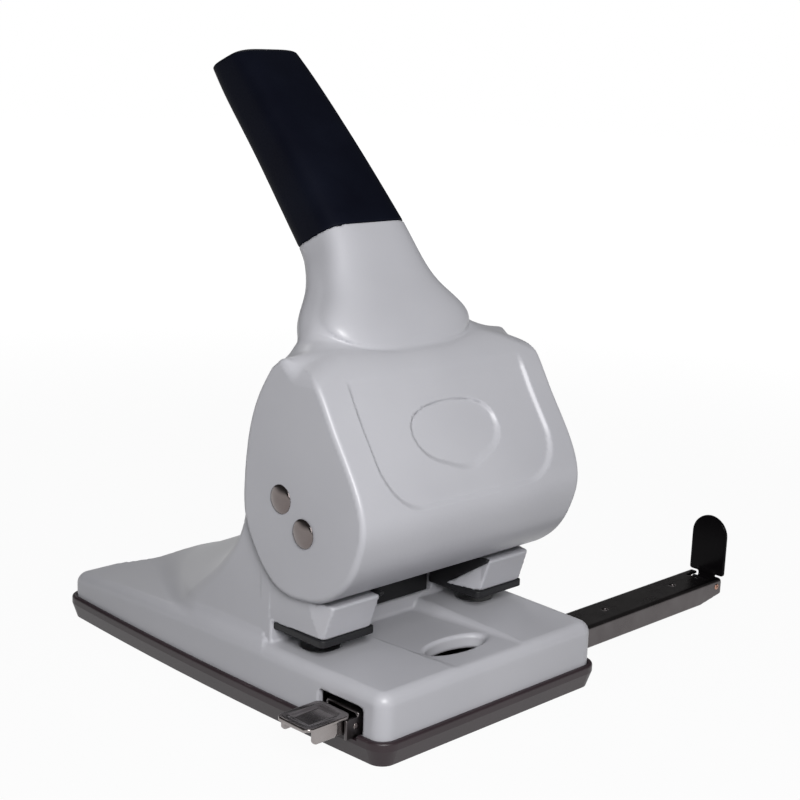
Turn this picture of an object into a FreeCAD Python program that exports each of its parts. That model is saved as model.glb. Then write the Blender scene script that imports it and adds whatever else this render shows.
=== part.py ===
"""Heavy two-hole lever punch with a sliding paper guide, one STEP file for each piece.

Millimetres. X runs to the right, Y to the back, Z up. The origin lies on the rest plane, midway
between the sides and 90 behind the front edge. Pieces of a pair are built on the right and
mirrored to the left.
"""
import FreeCAD, Part
import math
import os

V = FreeCAD.Vector

# ---- holes, paper and throat
HOLE_SPACING = 80.0
HOLE_DIAMETER = 6.0
HOLE_TO_PAPER_EDGE = 11.6
PAPER_STOP_Y = -29.9
TABLE_Z = 25.2
THROAT_HEIGHT = 5.3

# ---- base
BASE_FRONT_Y = -90.0
BASE_LENGTH = 184.0
BASE_END_WIDTH = 110.0
SIDE_BULGE = 2.5
BASE_CORNER = 5.5
INNER_CORNER = 1.5
NOTCH_WIDTH = 74.0
NOTCH_DEPTH = 11.0
BASE_DROP = 7.0
BASE_EDGE_ROUND = 4.0
HOUSING_WALL = 3.0

# ---- chip tray
TRAY_FLOOR = 2.0
TRAY_LEDGE_Z = 3.0
TRAY_LEDGE_WIDTH = 7.0
TRAY_RIM_Z = 9.1
TRAY_LIP_Z = 6.0
TRAY_DIP_GAP = 0.5
TRAY_LIP_OUT = 2.0
TRAY_FIT = 0.3

# ---- towers and hump
TOWER_IN = 11.8
POCKET_OUT = 6.5
TOWER_INNER_WALL = 2.2
TOWER_FLOOR = 2.8
BEAK_FRONT_Y = -55.0
BEAK_LEAN = 0.34
TOWER_SHOULDER_Z = 62.5
TOWER_INNER_TOP_Z = 57.0
PIVOT_BOSS_RADIUS = 10.4
TOWER_REAR_Y = -28.4
HUMP_FRONT_Y = -25.5
HUMP_TOP_Z = 74.0
HUMP_WALL = 3.0
REAR_WALL_TOP_Z = 90.0
REAR_WALL_BACK_Y = -18.5
LEDGE_Z = 27.2
# heights of the hump, with the ends of its straight flanks and of its pointed tail
HUMP_LEVELS = (
    (18.0, 20.0, 88.0),
    (28.0, 18.5, 65.0),
    (40.0, 6.2, 38.5),
    (52.0, -4.8, 11.0),
    (62.0, -11.0, -7.5),
    (74.0, -14.0, -12.0),
)
BEAK_ARC_RADIUS = 25.2
BEAK_ARC_FROM = 247.0
BEAK_ARC_TO = 264.0
CHEEK_CUT_LOW = 0.6
CHEEK_CUT_BACK = 11.5
CHEEK_CUT_IN = 7.0
CHEEK_CUT_REACH = 20.0
CHEEK_CUT_OVER = 4.0
POCKET_FRONT_Y = -49.5
OPENING_IN = 5.0

# ---- lever
PIVOT_Y = -48.9
PIVOT_Z = 71.2
AXLE_DIAMETER = 8.0
DRIVE_ARM = 15.42
DRIVE_ANGLE = 37.1
DRIVE_PIN_DIAMETER = 8.0
PIN_HEAD_DIAMETER = 10.4
PIN_HEAD_THICKNESS = 0.8
PIN_HEAD_ROUND = 0.5
HEAD_HALF_WIDTH = 55.4
HEAD_WALL = 2.2
HEAD_EDGE_ROUND = 2.0
HEAD_OPEN_FROM = 262.0
HEAD_OPEN_TO = 409.0
# outline of the head about the pivot: angle up from the back, and radius
HEAD_OUTLINE = (
    (5.0, 33.0), (20.0, 35.0), (35.0, 39.0), (50.0, 45.6), (62.0, 52.2), (72.0, 57.2),
    (82.0, 58.8), (92.0, 54.6), (104.0, 44.4), (118.0, 37.0), (134.0, 33.2), (150.0, 31.4),
    (167.0, 29.8), (184.0, 27.4), (204.0, 25.7), (230.0, 24.5), (255.0, 24.5), (272.0, 25.0),
    (290.0, 26.8), (308.0, 28.2), (327.0, 28.9), (342.0, 30.2),
)
# sections of the neck: front point and back point in the YZ plane, and half width
NECK_FOOT_IN = 3.4
NECK_SHOULDER_IN = 13.6
NECK_END = ((-20.5, 171.1), (3.1, 158.7), 19.5)
NECK_SECTIONS = (
    ((-47.5, 127.5), (-23.5, 114.0), HEAD_HALF_WIDTH - NECK_FOOT_IN),
    ((-45.7, 131.6), (-18.0, 131.0), HEAD_HALF_WIDTH - NECK_SHOULDER_IN),
    ((-41.8, 138.8), (-14.1, 138.0), 33.4),
    ((-35.3, 147.9), (-9.0, 145.6), 26.1),
    ((-28.7, 157.2), (-4.1, 152.7), 22.8),
    NECK_END,
)
NECK_WALL = 3.0
# sections of the grip, made the same way
GRIP_SECTIONS = (
    NECK_END,
    ((-6.8, 185.8), (18.6, 176.4), 18.6),
    ((8.2, 201.2), (33.6, 193.2), 17.7),
    ((25.8, 218.5), (49.1, 209.4), 16.6),
    ((37.4, 229.0), (58.6, 220.4), 15.6),
)
# the hollow of the neck goes on down into the head
NECK_CAVITY_IN = 15.4
NECK_CAVITY_SECTIONS = (((-58.0, 118.0), (-30.0, 112.0), HEAD_HALF_WIDTH - NECK_CAVITY_IN),) \
    + NECK_SECTIONS[1:5]
GRIP_CROWN = 2.6
GRIP_CROWN_INSET = 5.0
SECTION_STEPS = 16
SECTION_POWER = 0.5
HEAD_SECTOR_REACH = 62.0
HEAD_SECTOR_STEPS = 8
CORE_WIDTH = 16.0
CORE_DEPTH = 9.0
CORE_START = (-21.0, 149.0)
CORE_END = (41.0, 214.6)
CORE_PIN_DIAMETER = 4.0
CORE_PIN_AT = 10.0
CORE_PIN_LENGTH = 15.0
CORE_EDGE_ROUND = 2.5
SOCKET_LENGTH = 18.0
SOCKET_WALL = 3.5
SOCKET_START = 2.0

# ---- punching parts
BUSH_DIAMETER = 10.0
BUSH_FLANGE_DIAMETER = 12.6
BUSH_FLANGE = 2.5
GUIDE_PLATE = 2.7
FRAME_SIDE = 1.6
FRAME_SIDE_TOP_Z = 55.0
FRAME_FRONT_OUT = 0.8
FRAME_SIDE_IN = 1.1
FRAME_CORNER = 2.0
FRAME_SCREW_IN = 0.9
FRAME_SCREW_BEHIND = 5.5
FRAME_SCREW_AHEAD = 5.0
FRAME_SCREW_DIAMETER = 3.0
FRAME_SCREW_LENGTH = 9.0
FRAME_SCREW_HEAD = 5.0
FRAME_SCREW_SINK = 1.5
FRAME_SLOT_WIDTH = 0.8
FRAME_SLOT_DEPTH = 0.6
DIE_DIAMETER = 14.0
DIE_HEIGHT = 6.0
CHIP_BORE_DIAMETER = 8.0
DIE_BOSS_DIAMETER = 20.0
DIE_BOSS_Z = 16.5
BODY_SCREW_Y = -26.2
BODY_SCREW_DIAMETER = 4.0
BODY_SCREW_LENGTH = 11.0
BODY_SCREW_HEAD_DIAMETER = 7.0
BODY_SCREW_HEAD = 2.4
BODY_SCREW_KEY = 0.8
BAR_THICKNESS = 5.0
BAR_END_GAP = 0.6
BAR_FRONT_GAP = 0.5
BAR_BACK_Y = -30.8
BAR_REST_GAP = 0.15
PUNCH_TIP_RECESS = 0.5
PUNCH_NOTCH_DIAMETER = 8.4
DOWEL_DIAMETER = 2.0
DOWEL_INSET = 0.6
COLLAR_DIAMETER = 11.0
COLLAR_THICKNESS = 1.6
COLLAR_BELOW_AXLE = 1.7
SPRING_WIRE = 1.2
SPRING_RADIUS = 4.4
SPRING_TURNS = 6.5

# ---- paper stop
STOP_BAR_DEPTH = 3.0
STOP_BAR_SET = 0.8
STOP_BAR_TOP_Z = 36.0

# ---- front recess and window
RECESS_HALF_WIDTH = 17.5
RECESS_SLOPE = 3.6
RECESS_DEPTH = 4.0
RECESS_FRONT_DEPTH = 0.1
RECESS_FRONT_Y = -87.0
WINDOW_Y = -70.0
WINDOW_LENGTH = 28.0
WINDOW_WIDTH = 13.6
PAD_HALF_WIDTH = 23.5
PAD_Z = 17.7

# ---- sliding paper guide
RULER_FRONT_Y = -79.3
RULER_BACK_Y = -63.0
RULER_TOP_Z = 17.0
RULER_BOTTOM_Z = 8.2
RULER_SHEET = 1.2
RULER_LEFT_X = -61.5
RULER_RIGHT_X = 154.6
RULER_WEB_LEFT_X = -56.0
RULER_EAR_TOP_Z = 15.4
RULER_TAPER_LENGTH = 14.0
RULER_TAPER_HEIGHT = 2.2
OPENING_FRONT_Y = -80.2
OPENING_BACK_Y = -59.4
OPENING_Z = 7.9
OPENING_TOP_Z = 18.5
LATCH_LEFT_X = -78.5
LATCH_RIGHT_X = -58.8
LATCH_LEG_LEFT_X = -76.0
LATCH_LEG_RIGHT_X = -65.0
LATCH_LEG_Z = 11.0
LATCH_DISH_INSET = 3.0
LATCH_DISH_DEPTH = 0.6
LATCH_RIM = 0.8
LATCH_PIN_X = -57.0
LATCH_PIN_Z = 12.4
LATCH_PIN_DIAMETER = 2.4
LATCH_CORNER = 2.5
LATCH_EYE_RADIUS = 2.2
FLAP_WIDTH = 17.0
FLAP_HEIGHT = 25.3
FLAP_SHEET = 1.6
FLAP_PIN_Z = 14.0
FLAP_PIN_DIAMETER = 2.6
FLAP_PIN_INSET = 3.4
FLAP_EAR_WIDTH = 8.0
FLAP_EYE_RADIUS = 2.4
FLAP_OFFSET = 3.4
FLAP_SLOT = 8.0
DETENT_DIAMETER = 2.4
DETENT_INSET = 24.0
DETENT_PITCH = 45.0
DETENT_COUNT = 4
GUIDE_X = 33.0
GUIDE_WIDTH = 7.0
GUIDE_SHEET = 1.2
GUIDE_SCREW_Y = -56.6
GUIDE_FLANGE_Z = 17.4
GUIDE_SCREW_DIAMETER = 3.0
GUIDE_BOSS_DIAMETER = 8.0
SCREW_HEAD_DIAMETER = 5.6
SCREW_HEAD = 1.8
LEAF_FROM_SIDE = 11.0
LEAF_SPAN = 16.0
LEAF_WIDTH = 6.0
LEAF_SHEET = 0.5

# ---- clearances
RUNNING_FIT = 0.05
FIXED_FIT = 0.02
SIDE_GAP = 0.3
SLIDE_GAP = 0.4

# ---- how far a cutter runs past a face, and how near counts as touching
OVER = 1.0
NEAR = 0.01

# ---- worked out from the above
PUNCH_X = HOLE_SPACING / 2
PUNCH_Y = PAPER_STOP_Y - HOLE_TO_PAPER_EDGE
GUIDE_PLATE_Z = TABLE_Z + THROAT_HEIGHT
BEAK_Z = GUIDE_PLATE_Z + GUIDE_PLATE
POCKET_FLOOR_Z = BEAK_Z + TOWER_FLOOR
BUSH_TOP_Z = POCKET_FLOOR_Z + BUSH_FLANGE
HALF_LENGTH = BASE_LENGTH / 2
BASE_MIDDLE_Y = BASE_FRONT_Y + HALF_LENGTH
BASE_BACK_Y = BASE_FRONT_Y + BASE_LENGTH
HALF_WIDTH = BASE_END_WIDTH / 2
INSIDE_X = HALF_WIDTH - OPENING_IN
LEAF_X = LEAF_FROM_SIDE - HALF_WIDTH
AXLE_RADIUS = AXLE_DIAMETER / 2
DRIVE_Y = PIVOT_Y + DRIVE_ARM * math.cos(math.radians(DRIVE_ANGLE))
DRIVE_Z = PIVOT_Z + DRIVE_ARM * math.sin(math.radians(DRIVE_ANGLE))
BAR_TOP_Z = DRIVE_Z - DRIVE_PIN_DIAMETER / 2 - BAR_REST_GAP
BAR_Z = BAR_TOP_Z - BAR_THICKNESS
BAR_FRONT_Y = PIVOT_Y + AXLE_RADIUS + BAR_FRONT_GAP
COLLAR_TOP_Z = PIVOT_Z - AXLE_RADIUS - COLLAR_BELOW_AXLE
HEAD_INNER_X = HEAD_HALF_WIDTH - HEAD_WALL
FLAP_PIN_X = RULER_RIGHT_X - FLAP_PIN_INSET
RULER_MIDDLE_Y = (RULER_FRONT_Y + RULER_BACK_Y) / 2
FLAP_EAR_FRONT_Y = RULER_MIDDLE_Y - FLAP_EAR_WIDTH / 2
FLAP_EAR_BACK_Y = RULER_MIDDLE_Y + FLAP_EAR_WIDTH / 2
TOWER_INNER_X = PUNCH_X - TOWER_IN
TOWER_OUTER_X = HEAD_INNER_X - SIDE_GAP
POCKET_OUTER_X = PUNCH_X + POCKET_OUT
POCKET_INNER_X = TOWER_INNER_X + TOWER_INNER_WALL
BAR_HALF_LENGTH = POCKET_OUTER_X - BAR_END_GAP
STOP_BAR_HALF_LENGTH = TOWER_INNER_X - FRAME_SIDE - SLIDE_GAP
FRAME_SCREW_X = (POCKET_OUTER_X + TOWER_OUTER_X) / 2 - FRAME_SCREW_IN
FRAME_SCREWS = ((FRAME_SCREW_X, PUNCH_Y + FRAME_SCREW_BEHIND), (FRAME_SCREW_X, PUNCH_Y - FRAME_SCREW_AHEAD))


# ---- small helpers
def box(x0, x1, y0, y1, z0, z1):
    return Part.makeBox(x1 - x0, y1 - y0, z1 - z0, V(x0, y0, z0))


def post(x, y, diameter, z0, z1):
    return Part.makeCylinder(diameter / 2, z1 - z0, V(x, y, z0), V(0, 0, 1))


def rod(y, z, diameter, x0, x1):
    return Part.makeCylinder(diameter / 2, x1 - x0, V(x0, y, z), V(1, 0, 0))


def depth_pin(x, z, diameter, y0, y1):
    return Part.makeCylinder(diameter / 2, y1 - y0, V(x, y0, z), V(0, 1, 0))


def slab(points, x0, x1):
    """A polygon of (y, z) points, made solid from x0 to x1."""
    wire = Part.makePolygon([V(x0, y, z) for y, z in points + points[:1]])
    return Part.Face(wire).extrude(V(x1 - x0, 0, 0))


def mirrored(shape):
    return shape.mirror(V(0, 0, 0), V(1, 0, 0))


def joined(first, *others):
    shape = first.fuse(list(others))
    return shape.removeSplitter()


def polar(angle, radius):
    """A (y, z) point about the lever's pivot."""
    turn = math.radians(angle)
    return PIVOT_Y + radius * math.cos(turn), PIVOT_Z + radius * math.sin(turn)


def save(name, shape):
    shape.exportStep("parts/%s.step" % name)


def save_pair(name, right):
    save(name + "_right", right)
    save(name + "_left", mirrored(right))


# ---- base: outline, tray and housing
def outline(inset, z):
    """Plan of the base: straight ends, bowed sides and round corners, moved in by inset."""
    half_length = HALF_LENGTH - inset
    radius = (HALF_LENGTH ** 2 + SIDE_BULGE ** 2) / (2 * SIDE_BULGE)
    centre_x = HALF_WIDTH + SIDE_BULGE - radius
    radius -= inset
    corner = max(BASE_CORNER - inset, INNER_CORNER)
    corner_y = half_length - corner
    corner_x = centre_x + math.sqrt((radius - corner) ** 2 - corner_y ** 2)
    reach = V(corner_x - centre_x, corner_y, 0).normalize()
    side_end = V(corner_x, corner_y, 0) + reach * corner
    middle = V(corner_x, corner_y, 0) + (reach + V(0, 1, 0)).normalize() * corner
    flat_end = V(corner_x, half_length, 0)

    def turned(point, x_sign, y_sign):
        return V(point.x * x_sign, BASE_MIDDLE_Y + point.y * y_sign, z)

    edges = []
    for x_sign in (1, -1):
        low, high = (-1, 1) if x_sign == 1 else (1, -1)
        edges.append(Part.Arc(turned(flat_end, x_sign, low), turned(middle, x_sign, low),
                              turned(side_end, x_sign, low)).toShape())
        widest = V(x_sign * (centre_x + radius), BASE_MIDDLE_Y, z)
        edges.append(Part.Arc(turned(side_end, x_sign, low), widest,
                              turned(side_end, x_sign, high)).toShape())
        edges.append(Part.Arc(turned(side_end, x_sign, high), turned(middle, x_sign, high),
                              turned(flat_end, x_sign, high)).toShape())
        edges.append(Part.LineSegment(turned(flat_end, x_sign, high),
                                      turned(flat_end, -x_sign, high)).toShape())
    return Part.Wire(edges)


def plate(inset, z0, z1):
    return Part.Face(outline(inset, z0)).extrude(V(0, 0, z1 - z0))


def rear_notch(wall):
    """The shallow hollow in the rear edge that lets a thumb reach the tray, grown by a wall."""
    half = NOTCH_WIDTH / 2
    radius = (half ** 2 + NOTCH_DEPTH ** 2) / (2 * NOTCH_DEPTH)
    centre_y = BASE_BACK_Y - NOTCH_DEPTH + radius
    return post(0, centre_y, 2 * (radius + wall), -OVER, TABLE_Z)


def chip_tray():
    skirt = Part.makeLoft([outline(0.0, 0.0), outline(-TRAY_LIP_OUT, TRAY_LIP_Z)], True, True)
    lip = plate(-TRAY_LIP_OUT, TRAY_LIP_Z, TRAY_RIM_Z)
    shape = joined(skirt, lip)
    rim = [edge for edge in shape.Edges if edge.BoundBox.ZMin > TRAY_RIM_Z - NEAR]
    shape = shape.makeFillet(TRAY_LIP_OUT / 2, rim)
    hollow = plate(TRAY_LEDGE_WIDTH, TRAY_FLOOR, TRAY_RIM_Z).cut(rear_notch(TRAY_LEDGE_WIDTH))
    dip = box(-BASE_END_WIDTH, BASE_END_WIDTH, OPENING_FRONT_Y, OPENING_BACK_Y,
              OPENING_Z - TRAY_DIP_GAP, TRAY_RIM_Z + OVER)
    return shape.cut([plate(-TRAY_FIT, TRAY_LEDGE_Z, TRAY_RIM_Z + OVER), hollow, dip])


def top_profile(drop, front, back):
    """Side view of the base: a level front and a back that falls away in one long curve."""
    length = BASE_BACK_Y - PAPER_STOP_Y
    radius = (length ** 2 + BASE_DROP ** 2) / (2 * BASE_DROP)
    top = TABLE_Z - drop

    def fall(y):
        reach = y - PAPER_STOP_Y
        return top - radius + math.sqrt(radius ** 2 - reach ** 2)

    x = -2 * HALF_WIDTH
    corners = [V(x, back, 0), V(x, front, 0), V(x, front, top), V(x, PAPER_STOP_Y, top)]
    curve_end = V(x, back, fall(back))
    middle_y = (PAPER_STOP_Y + back) / 2
    edges = [Part.LineSegment(a, b).toShape() for a, b in zip(corners, corners[1:])]
    edges.append(Part.Arc(corners[-1], V(x, middle_y, fall(middle_y)), curve_end).toShape())
    edges.append(Part.LineSegment(curve_end, corners[0]).toShape())
    return Part.Face(Part.Wire(edges)).extrude(V(4 * HALF_WIDTH, 0, 0))


def base_block(inset, drop, z0):
    tall = plate(inset, z0, TABLE_Z + OVER)
    return tall.common(top_profile(drop, BASE_FRONT_Y, BASE_BACK_Y))


def rounded_base():
    block = base_block(0.0, 0.0, TRAY_LEDGE_Z)
    upper = [edge for edge in block.Edges
             if edge.BoundBox.ZMin > TABLE_Z - BASE_DROP - OVER
             and (edge.BoundBox.YLength > NEAR
                  or abs(edge.BoundBox.YMax - BASE_MIDDLE_Y) > HALF_LENGTH - OVER)]
    return block.makeFillet(BASE_EDGE_ROUND, upper)


def tail_curve(half_width, flank_end, tail_end, z):
    """A parabola from the right flank round the tail to the left flank."""
    curve = Part.BezierCurve()
    curve.setPoles([V(half_width, flank_end, z), V(0, 2 * tail_end - flank_end, z),
                    V(-half_width, flank_end, z)])
    return curve.toShape()


def hump(inset):
    """The swelling behind the towers: level cuts with straight flanks and a pointed tail."""
    half = TOWER_OUTER_X - inset
    front = HUMP_FRONT_Y + inset
    wires = []
    for z, flank_end, tail_end in HUMP_LEVELS:
        flank, tail = flank_end - inset, tail_end - inset
        corners = [V(-half, flank, z), V(-half, front, z), V(half, front, z), V(half, flank, z)]
        edges = [Part.LineSegment(a, b).toShape() for a, b in zip(corners, corners[1:])]
        wires.append(Part.Wire(edges + [tail_curve(half, flank, tail, z)]))
    return Part.makeLoft(wires, True, False)


def beak_front_y(z):
    return BEAK_FRONT_Y - BEAK_LEAN * (z - BEAK_Z)


def beak_outline(low):
    """Front of a beak in side view: up the leaning face, then back under the lever's head."""
    arc = [polar(angle, BEAK_ARC_RADIUS)
           for angle in (BEAK_ARC_FROM, (BEAK_ARC_FROM + BEAK_ARC_TO) / 2, BEAK_ARC_TO)]
    return [(BEAK_FRONT_Y, low), (beak_front_y(arc[0][1]), arc[0][1])] + arc


def tower():
    """The right tower: a leaning beak, a wall up to the pivot and a block that joins the hump."""
    front = beak_outline(BEAK_Z)
    face_top_z, wall_y = front[1][1], front[-1][0]
    outer = front + [(wall_y, TOWER_SHOULDER_Z), (HUMP_FRONT_Y, TOWER_SHOULDER_Z),
                     (HUMP_FRONT_Y, TABLE_Z - HOUSING_WALL), (PAPER_STOP_Y, TABLE_Z - HOUSING_WALL),
                     (PAPER_STOP_Y, BEAK_Z)]
    block = slab(outer, TOWER_INNER_X, TOWER_OUTER_X)
    boss = rod(PIVOT_Y, PIVOT_Z, 2 * PIVOT_BOSS_RADIUS, POCKET_OUTER_X, TOWER_OUTER_X)
    rear = box(TOWER_INNER_X, TOWER_OUTER_X, TOWER_REAR_Y, HUMP_FRONT_Y + OVER, TABLE_Z, HUMP_TOP_Z)
    low_corner = V(TOWER_OUTER_X, BEAK_FRONT_Y + CHEEK_CUT_LOW, BEAK_Z)
    chamfer = corner_cut(low_corner, V(TOWER_OUTER_X, BEAK_FRONT_Y + CHEEK_CUT_BACK, face_top_z),
                         V(TOWER_OUTER_X - CHEEK_CUT_IN, beak_front_y(face_top_z), face_top_z),
                         V(TOWER_OUTER_X - CHEEK_CUT_LOW, BEAK_FRONT_Y, BEAK_Z))
    block = block.cut(chamfer)
    pocket = box(POCKET_INNER_X, POCKET_OUTER_X, POCKET_FRONT_Y, PAPER_STOP_Y,
                 POCKET_FLOOR_Z, PIVOT_Z + PIVOT_BOSS_RADIUS)
    bar_way = box(TOWER_INNER_X - OVER, POCKET_INNER_X + OVER, BEAK_FRONT_Y, TOWER_REAR_Y,
                  TOWER_INNER_TOP_Z, PIVOT_Z + PIVOT_BOSS_RADIUS)
    block = joined(block.cut([pocket, bar_way]), boss, rear)
    bores = [rod(PIVOT_Y, PIVOT_Z, AXLE_DIAMETER + 2 * FIXED_FIT,
                 POCKET_OUTER_X - OVER, TOWER_OUTER_X + OVER),
             post(PUNCH_X, PUNCH_Y, BUSH_DIAMETER + 2 * FIXED_FIT, BEAK_Z - OVER, POCKET_FLOOR_Z + OVER)]
    bores += [screw_bore(x, y) for x, y in FRAME_SCREWS]
    return block.cut(bores)


def corner_cut(side_low, side_high, front_high, front_low):
    """A wedge outside the slanting face of a beak's front corner."""
    reach = CHEEK_CUT_REACH
    top, bottom = side_high.z + CHEEK_CUT_OVER, side_low.z - CHEEK_CUT_OVER
    low = [along_z(side_low, side_high, bottom), along_z(front_low, front_high, bottom)]
    high = [along_z(side_low, side_high, top), along_z(front_low, front_high, top)]
    wires = []
    for side, front in (low, high):
        slope = (side.y - front.y) / (side.x - front.x)
        outside = V(side.x + reach, front.y - reach, side.z)
        side_out = V(side.x + reach, side.y + reach * slope, side.z)
        front_out = V(front.x - reach / slope, front.y - reach, front.z)
        wires.append(Part.makePolygon([front_out, side_out, outside, front_out]))
    return Part.makeLoft(wires, True, True)


def along_z(low, high, z):
    share = (z - low.z) / (high.z - low.z)
    return low + (high - low) * share


def screw_bore(x, y):
    return post(x, y, FRAME_SCREW_DIAMETER + 2 * FIXED_FIT, BEAK_Z - OVER, BEAK_Z + FRAME_SCREW_LENGTH)


def recess():
    """A shallow scoop in the table, deepest at the paper stop."""
    wires = []
    for y, depth in ((PAPER_STOP_Y, RECESS_DEPTH), (RECESS_FRONT_Y, RECESS_FRONT_DEPTH)):
        low, high = RECESS_HALF_WIDTH, RECESS_HALF_WIDTH + RECESS_SLOPE * depth / RECESS_DEPTH
        floor, top = TABLE_Z - depth, TABLE_Z + NEAR
        wires.append(Part.makePolygon([V(-low, y, floor), V(low, y, floor), V(high, y, top),
                                       V(-high, y, top), V(-low, y, floor)]))
    return Part.makeLoft(wires, True, True)


def window():
    centre = V(0, WINDOW_Y, 0)
    ellipse = Part.Ellipse(V(WINDOW_LENGTH / 2, WINDOW_Y, 0), V(0, WINDOW_Y + WINDOW_WIDTH / 2, 0), centre)
    return Part.Face(Part.Wire(ellipse.toShape())).extrude(V(0, 0, TABLE_Z + OVER))


def inside_hump():
    return hump(HUMP_WALL).common(
        box(-TOWER_OUTER_X, TOWER_OUTER_X, HUMP_FRONT_Y, BASE_BACK_Y, 0, HUMP_TOP_Z - HUMP_WALL))


def base_housing():
    """The deck on its tray: hollow below, with the die bosses, the recess and the window."""
    below = base_block(HOUSING_WALL, HOUSING_WALL, 0.0).cut(rear_notch(HOUSING_WALL))
    shell = rounded_base().cut([below, inside_hump(), rear_notch(0.0)])
    pad = box(-PAD_HALF_WIDTH, PAD_HALF_WIDTH, BASE_FRONT_Y + HOUSING_WALL - OVER, HUMP_FRONT_Y,
              PAD_Z, TABLE_Z - HOUSING_WALL)
    bosses = [pad]
    for sign in (1, -1):
        bosses.append(post(sign * PUNCH_X, PUNCH_Y, DIE_BOSS_DIAMETER, DIE_BOSS_Z, TABLE_Z - HOUSING_WALL))
        bosses.append(post(sign * GUIDE_X, GUIDE_SCREW_Y, GUIDE_BOSS_DIAMETER,
                           GUIDE_FLANGE_Z + GUIDE_SHEET, TABLE_Z - HOUSING_WALL))
    shell = joined(shell, *bosses)
    holes = [recess(), window(),
             box(-BASE_END_WIDTH, BASE_END_WIDTH, OPENING_FRONT_Y, OPENING_BACK_Y, OPENING_Z, OPENING_TOP_Z)
             .cut(box(-INSIDE_X, INSIDE_X, BASE_FRONT_Y, BASE_BACK_Y, 0, TABLE_Z))]
    for sign in (1, -1):
        x = sign * PUNCH_X
        holes.append(post(x, PUNCH_Y, DIE_DIAMETER + 2 * FIXED_FIT, TABLE_Z - DIE_HEIGHT, TABLE_Z + OVER))
        holes.append(post(x, PUNCH_Y, CHIP_BORE_DIAMETER, DIE_BOSS_Z - OVER, TABLE_Z))
        holes.append(post(sign * GUIDE_X, GUIDE_SCREW_Y, GUIDE_SCREW_DIAMETER + 2 * FIXED_FIT,
                          GUIDE_FLANGE_Z, TABLE_Z - HOUSING_WALL))
        holes.append(body_screw_bore(sign))
        holes.append(post(x, BODY_SCREW_Y, BODY_SCREW_HEAD_DIAMETER + 2 * FIXED_FIT,
                          DIE_BOSS_Z - OVER, TABLE_Z - HOUSING_WALL))
    return shell.cut(holes)


def punch_body():
    """Both towers, the hump behind them and the ledge of the paper stop, seated on the deck."""
    tall_wall = box(-TOWER_OUTER_X, TOWER_OUTER_X, REAR_WALL_BACK_Y - HUMP_WALL, REAR_WALL_BACK_Y,
                    HUMP_TOP_Z - HUMP_WALL, REAR_WALL_TOP_Z)
    ledge = box(-TOWER_INNER_X - OVER, TOWER_INNER_X + OVER, PAPER_STOP_Y, HUMP_FRONT_Y + OVER,
                TABLE_Z - HOUSING_WALL, LEDGE_Z)
    right = tower()
    outside = joined(hump(0.0), right, mirrored(right), tall_wall, ledge)
    under = top_profile(-FIXED_FIT, BASE_FRONT_Y, BASE_BACK_Y)
    return outside.cut([inside_hump(), rear_notch(0.0), under, body_screw_bore(1), body_screw_bore(-1)])


def body_screw_bore(sign):
    return post(sign * PUNCH_X, BODY_SCREW_Y, BODY_SCREW_DIAMETER + 2 * FIXED_FIT,
                TABLE_Z - HOUSING_WALL - OVER, TABLE_Z - HOUSING_WALL + BODY_SCREW_LENGTH + SIDE_GAP)


def body_screws():
    """Two screws from below that hold the punch body on the deck."""
    seat = TABLE_Z - HOUSING_WALL
    head = post(PUNCH_X, BODY_SCREW_Y, BODY_SCREW_HEAD_DIAMETER, seat - BODY_SCREW_HEAD, seat)
    shank = post(PUNCH_X, BODY_SCREW_Y, BODY_SCREW_DIAMETER, seat - BODY_SCREW_HEAD, seat + BODY_SCREW_LENGTH)
    socket = post(PUNCH_X, BODY_SCREW_Y, BODY_SCREW_DIAMETER * BODY_SCREW_KEY, seat - BODY_SCREW_HEAD - OVER,
                  seat - BODY_SCREW_HEAD / 2)
    screw = joined(head, shank).cut(socket)
    return Part.makeCompound([screw, mirrored(screw)])


# ---- punching parts
def punch_frame():
    """Steel angle under and beside the right beak; its foot holds the sheets down."""
    front = BEAK_FRONT_Y - FRAME_FRONT_OUT
    inner = TOWER_INNER_X - FRAME_SIDE
    foot = box(inner, TOWER_OUTER_X - FRAME_SIDE_IN, front, PAPER_STOP_Y, GUIDE_PLATE_Z, BEAK_Z)
    corners = [edge for edge in foot.Edges
               if edge.BoundBox.ZLength > GUIDE_PLATE / 2 and edge.BoundBox.YMax < front + OVER]
    foot = foot.makeFillet(FRAME_CORNER, corners)
    rise = beak_outline(BEAK_Z - OVER)
    side = slab(rise + [(rise[-1][0], FRAME_SIDE_TOP_Z), (PAPER_STOP_Y, FRAME_SIDE_TOP_Z),
                        (PAPER_STOP_Y, BEAK_Z - OVER)], inner, TOWER_INNER_X)
    holes = [post(PUNCH_X, PUNCH_Y, BUSH_DIAMETER + 2 * FIXED_FIT, GUIDE_PLATE_Z - OVER, BEAK_Z + OVER)]
    for x, y in FRAME_SCREWS:
        holes.append(post(x, y, FRAME_SCREW_DIAMETER + 2 * FIXED_FIT, GUIDE_PLATE_Z - OVER, BEAK_Z + OVER))
        holes.append(screw_head(x, y, FIXED_FIT))
    return joined(foot, side).cut(holes)


def screw_head(x, y, gap):
    """The cone of a countersunk head that opens downwards."""
    shank = FRAME_SCREW_DIAMETER / 2 + gap
    return Part.makeCone(FRAME_SCREW_HEAD / 2 + gap, shank, FRAME_SCREW_SINK,
                         V(x, y, GUIDE_PLATE_Z), V(0, 0, 1))


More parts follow.
